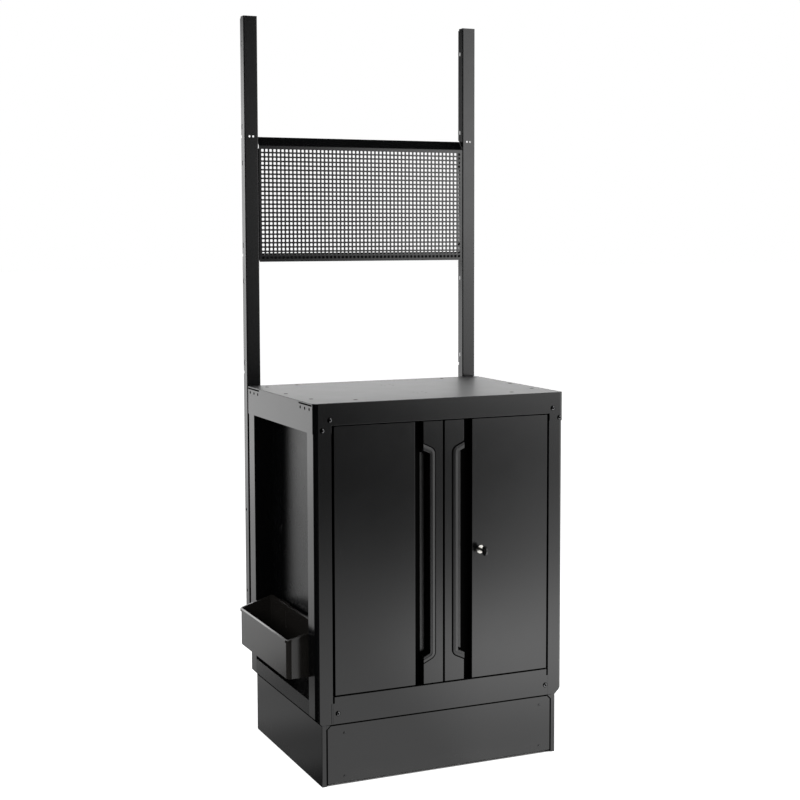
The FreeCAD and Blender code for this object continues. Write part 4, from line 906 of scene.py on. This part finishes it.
# What the gloss sees of the floor in front: light near the object, in a beam to the right and far off
def frontGlow(graph, across, along, away):
    drift = stage["boxTurn"] + graph.fade(away, *stage["boxDriftNear"]) * stage["boxDrift"][0]
    drift = drift + graph.fade(away, *stage["boxDriftFar"]) * stage["boxDrift"][1]
    turn = across.bearing(-along) * degrees
    box = graph.fade(turn - drift, *stage["boxEdge"]) * stage["boxLevel"]
    box = box * graph.fade(away, *stage["boxReach"], stage["boxNear"])
    near = graph.fade(away, *stage["nearReach"]) * stage["nearLevel"]
    near = near + graph.fade(away, *stage["midReach"]) * stage["midLevel"]
    far = graph.fade(away, *stage["farReach"]) * graph.fade(turn, *stage["farTurn"]) * stage["farLevel"]
    cornerAcross, cornerAlong = stage["corner"]
    cornerTurn = (across + cornerAcross).bearing(-along - cornerAlong) * degrees
    front = (box + near + far + stage["plainLevel"]) * graph.fade(cornerTurn, *stage["cornerTurn"])
    return front * graph.fade(cornerTurn, *stage["cornerEnd"])


# Behind the object it grows lighter in steps, and darker again towards the left
def behindGlow(graph, across, along, away):
    behind = stage["behindLevel"]
    for start, stop, level in stage["behindSteps"]:
        behind = graph.fade(along, start, stop) * level + behind
    wing = stage["wing"][0] + graph.fade(away, *stage["wingReach"]) * stage["wing"][1]
    wing = graph.fade(across.bearing(along) * degrees + wing, *stage["wingFade"])
    return behind * wing.atLeast(graph.fade(away, *stage["wingNear"]))


def floorGlow(graph, place):
    spot = graph.add("ShaderNodeSeparateXYZ", {}, {"Vector": place})
    across, along = spot["X"], spot["Y"]
    away = (across * across + along * along) ** 0.5
    front = frontGlow(graph, across, along, away)
    behind = behindGlow(graph, across, along, away)
    return graph.fade(along, *stage["behindEdge"]) * (behind - front) + front


def makeFloor():
    shape = bmesh.new()
    bmesh.ops.create_grid(shape, x_segments=1, y_segments=1, size=stage["floorSize"])
    material, graph, place = startMaterial("floorPaper")
    shown, glossy = paleRays(graph)
    matt = graph.add("ShaderNodeBsdfDiffuse", {}, {"Color": grey(stage["floorColour"])})
    spot = graph.add("ShaderNodeSeparateXYZ", {}, {"Vector": place})
    inside = graph.fade((spot["X"] * spot["X"]) ** 0.5, *stage["footAcross"])
    inside = inside * graph.fade((spot["Y"] * spot["Y"]) ** 0.5, *stage["footAlong"])
    lift = graph.add("ShaderNodeEmission", {}, {"Color": grey(1.0),
                                                "Strength": shown * (1 - inside) * stage["floorLift"]})
    both = graph.add("ShaderNodeAddShader", {}, {0: matt["BSDF"], 1: lift["Emission"]})
    seen = graph.add("ShaderNodeEmission", {}, {"Color": grey(1.0), "Strength": floorGlow(graph, place)})
    mixed = graph.add("ShaderNodeMixShader", {}, {0: glossy, 1: both["Shader"], 2: seen["Emission"]})
    graph.add("ShaderNodeOutputMaterial", {}, {"Surface": mixed["Shader"]})
    floor = newObject("floor", meshOf(shape, "floor"), material)


def makeWorld():
    world = bpy.data.worlds.new("studio")
    bpy.context.scene.world = world
    world.use_nodes = True
    world.node_tree.nodes.clear()
    graph = Graph(world.node_tree)
    way = graph.add("ShaderNodeTexCoord")["Generated"]
    parts = graph.add("ShaderNodeSeparateXYZ", {}, {"Vector": way})
    turn = parts["X"].bearing(parts["Y"]) * (0.5 / math.pi) + 0.5
    stops = [(at, grey(level)) for at, level in stage["aroundStops"]]
    around = graph.add("ShaderNodeValToRGB", {"stops": stops}, {"Fac": turn})["Color"]
    cove = around * stage["aroundLevel"] * graph.fade(parts["Z"], *stage["coveTop"])
    start, stop = stage["frontTurn"]
    band = graph.fade(turn, *start) * graph.fade(turn, *stop) * graph.fade(parts["Z"], *stage["frontTop"])
    cove = cove + band * stage["frontLevel"]
    roof = graph.fade(parts["Z"], *stage["roofLow"]) * graph.fade(parts["Z"], *stage["roofHigh"])
    side = graph.fade(parts["Y"], *stage["roofBehind"]).atLeast(graph.fade(parts["X"], *stage["roofRight"]))
    roof = roof * side * stage["roofLevel"]
    shown, glossy = paleRays(graph)
    seen = glossy * (cove + roof + stage["roomLevel"]) + (1 - glossy) * stage["ambient"]
    level = shown + (1 - shown) * seen
    sky = graph.add("ShaderNodeBackground", {}, {"Color": grey(1.0), "Strength": level})
    graph.add("ShaderNodeOutputWorld", {}, {"Surface": sky["Background"]})


def makeLamp(name):
    data = bpy.data.lights.new(name, "AREA")
    data.shape = "RECTANGLE"
    data.size, data.size_y = stage[name + "Size"]
    data.energy = stage[name + "Power"]
    lamp = bpy.data.objects.new(name + "Lamp", data)
    bpy.context.scene.collection.objects.link(lamp)
    place = Vector(stage[name + "Place"])
    lamp.location = place
    lamp.rotation_euler = (Vector(stage["aim"]) - place).to_track_quat("-Z", "Y").to_euler()
    lamp.visible_glossy = False


makeFloor()
makeWorld()
for name in ("left", "top", "front"):
    makeLamp(name)

view = {"place": (-1.6938, -3.8183, 1.4060), "turn": 23.857, "tilt": 4.607, "roll": -0.159,
        "focal": 1523.7, "shift": -0.05, "width": 800, "sensor": 36.0}


def makeCamera():
    data = bpy.data.cameras.new("camera")
    data.sensor_width = view["sensor"]
    data.lens = view["focal"] / view["width"] * view["sensor"]
    data.shift_y = view["shift"]
    camera = bpy.data.objects.new("camera", data)
    bpy.context.scene.collection.objects.link(camera)
    turn, tilt, roll = (math.radians(view[key]) for key in ("turn", "tilt", "roll"))
    ahead = Vector((math.sin(turn) * math.cos(tilt), math.cos(turn) * math.cos(tilt), -math.sin(tilt)))
    right = Vector((math.cos(turn), -math.sin(turn), 0))
    up = right.cross(ahead)
    across = right * math.cos(roll) + up * math.sin(roll)
    above = up * math.cos(roll) - right * math.sin(roll)
    turned = Matrix((across, above, -ahead)).transposed().to_4x4()
    camera.matrix_world = Matrix.Translation(view["place"]) @ turned
    bpy.context.scene.camera = camera


makeCamera()
bpy.context.scene.view_settings.view_transform = "Standard"
print("stage, lamps and camera made")
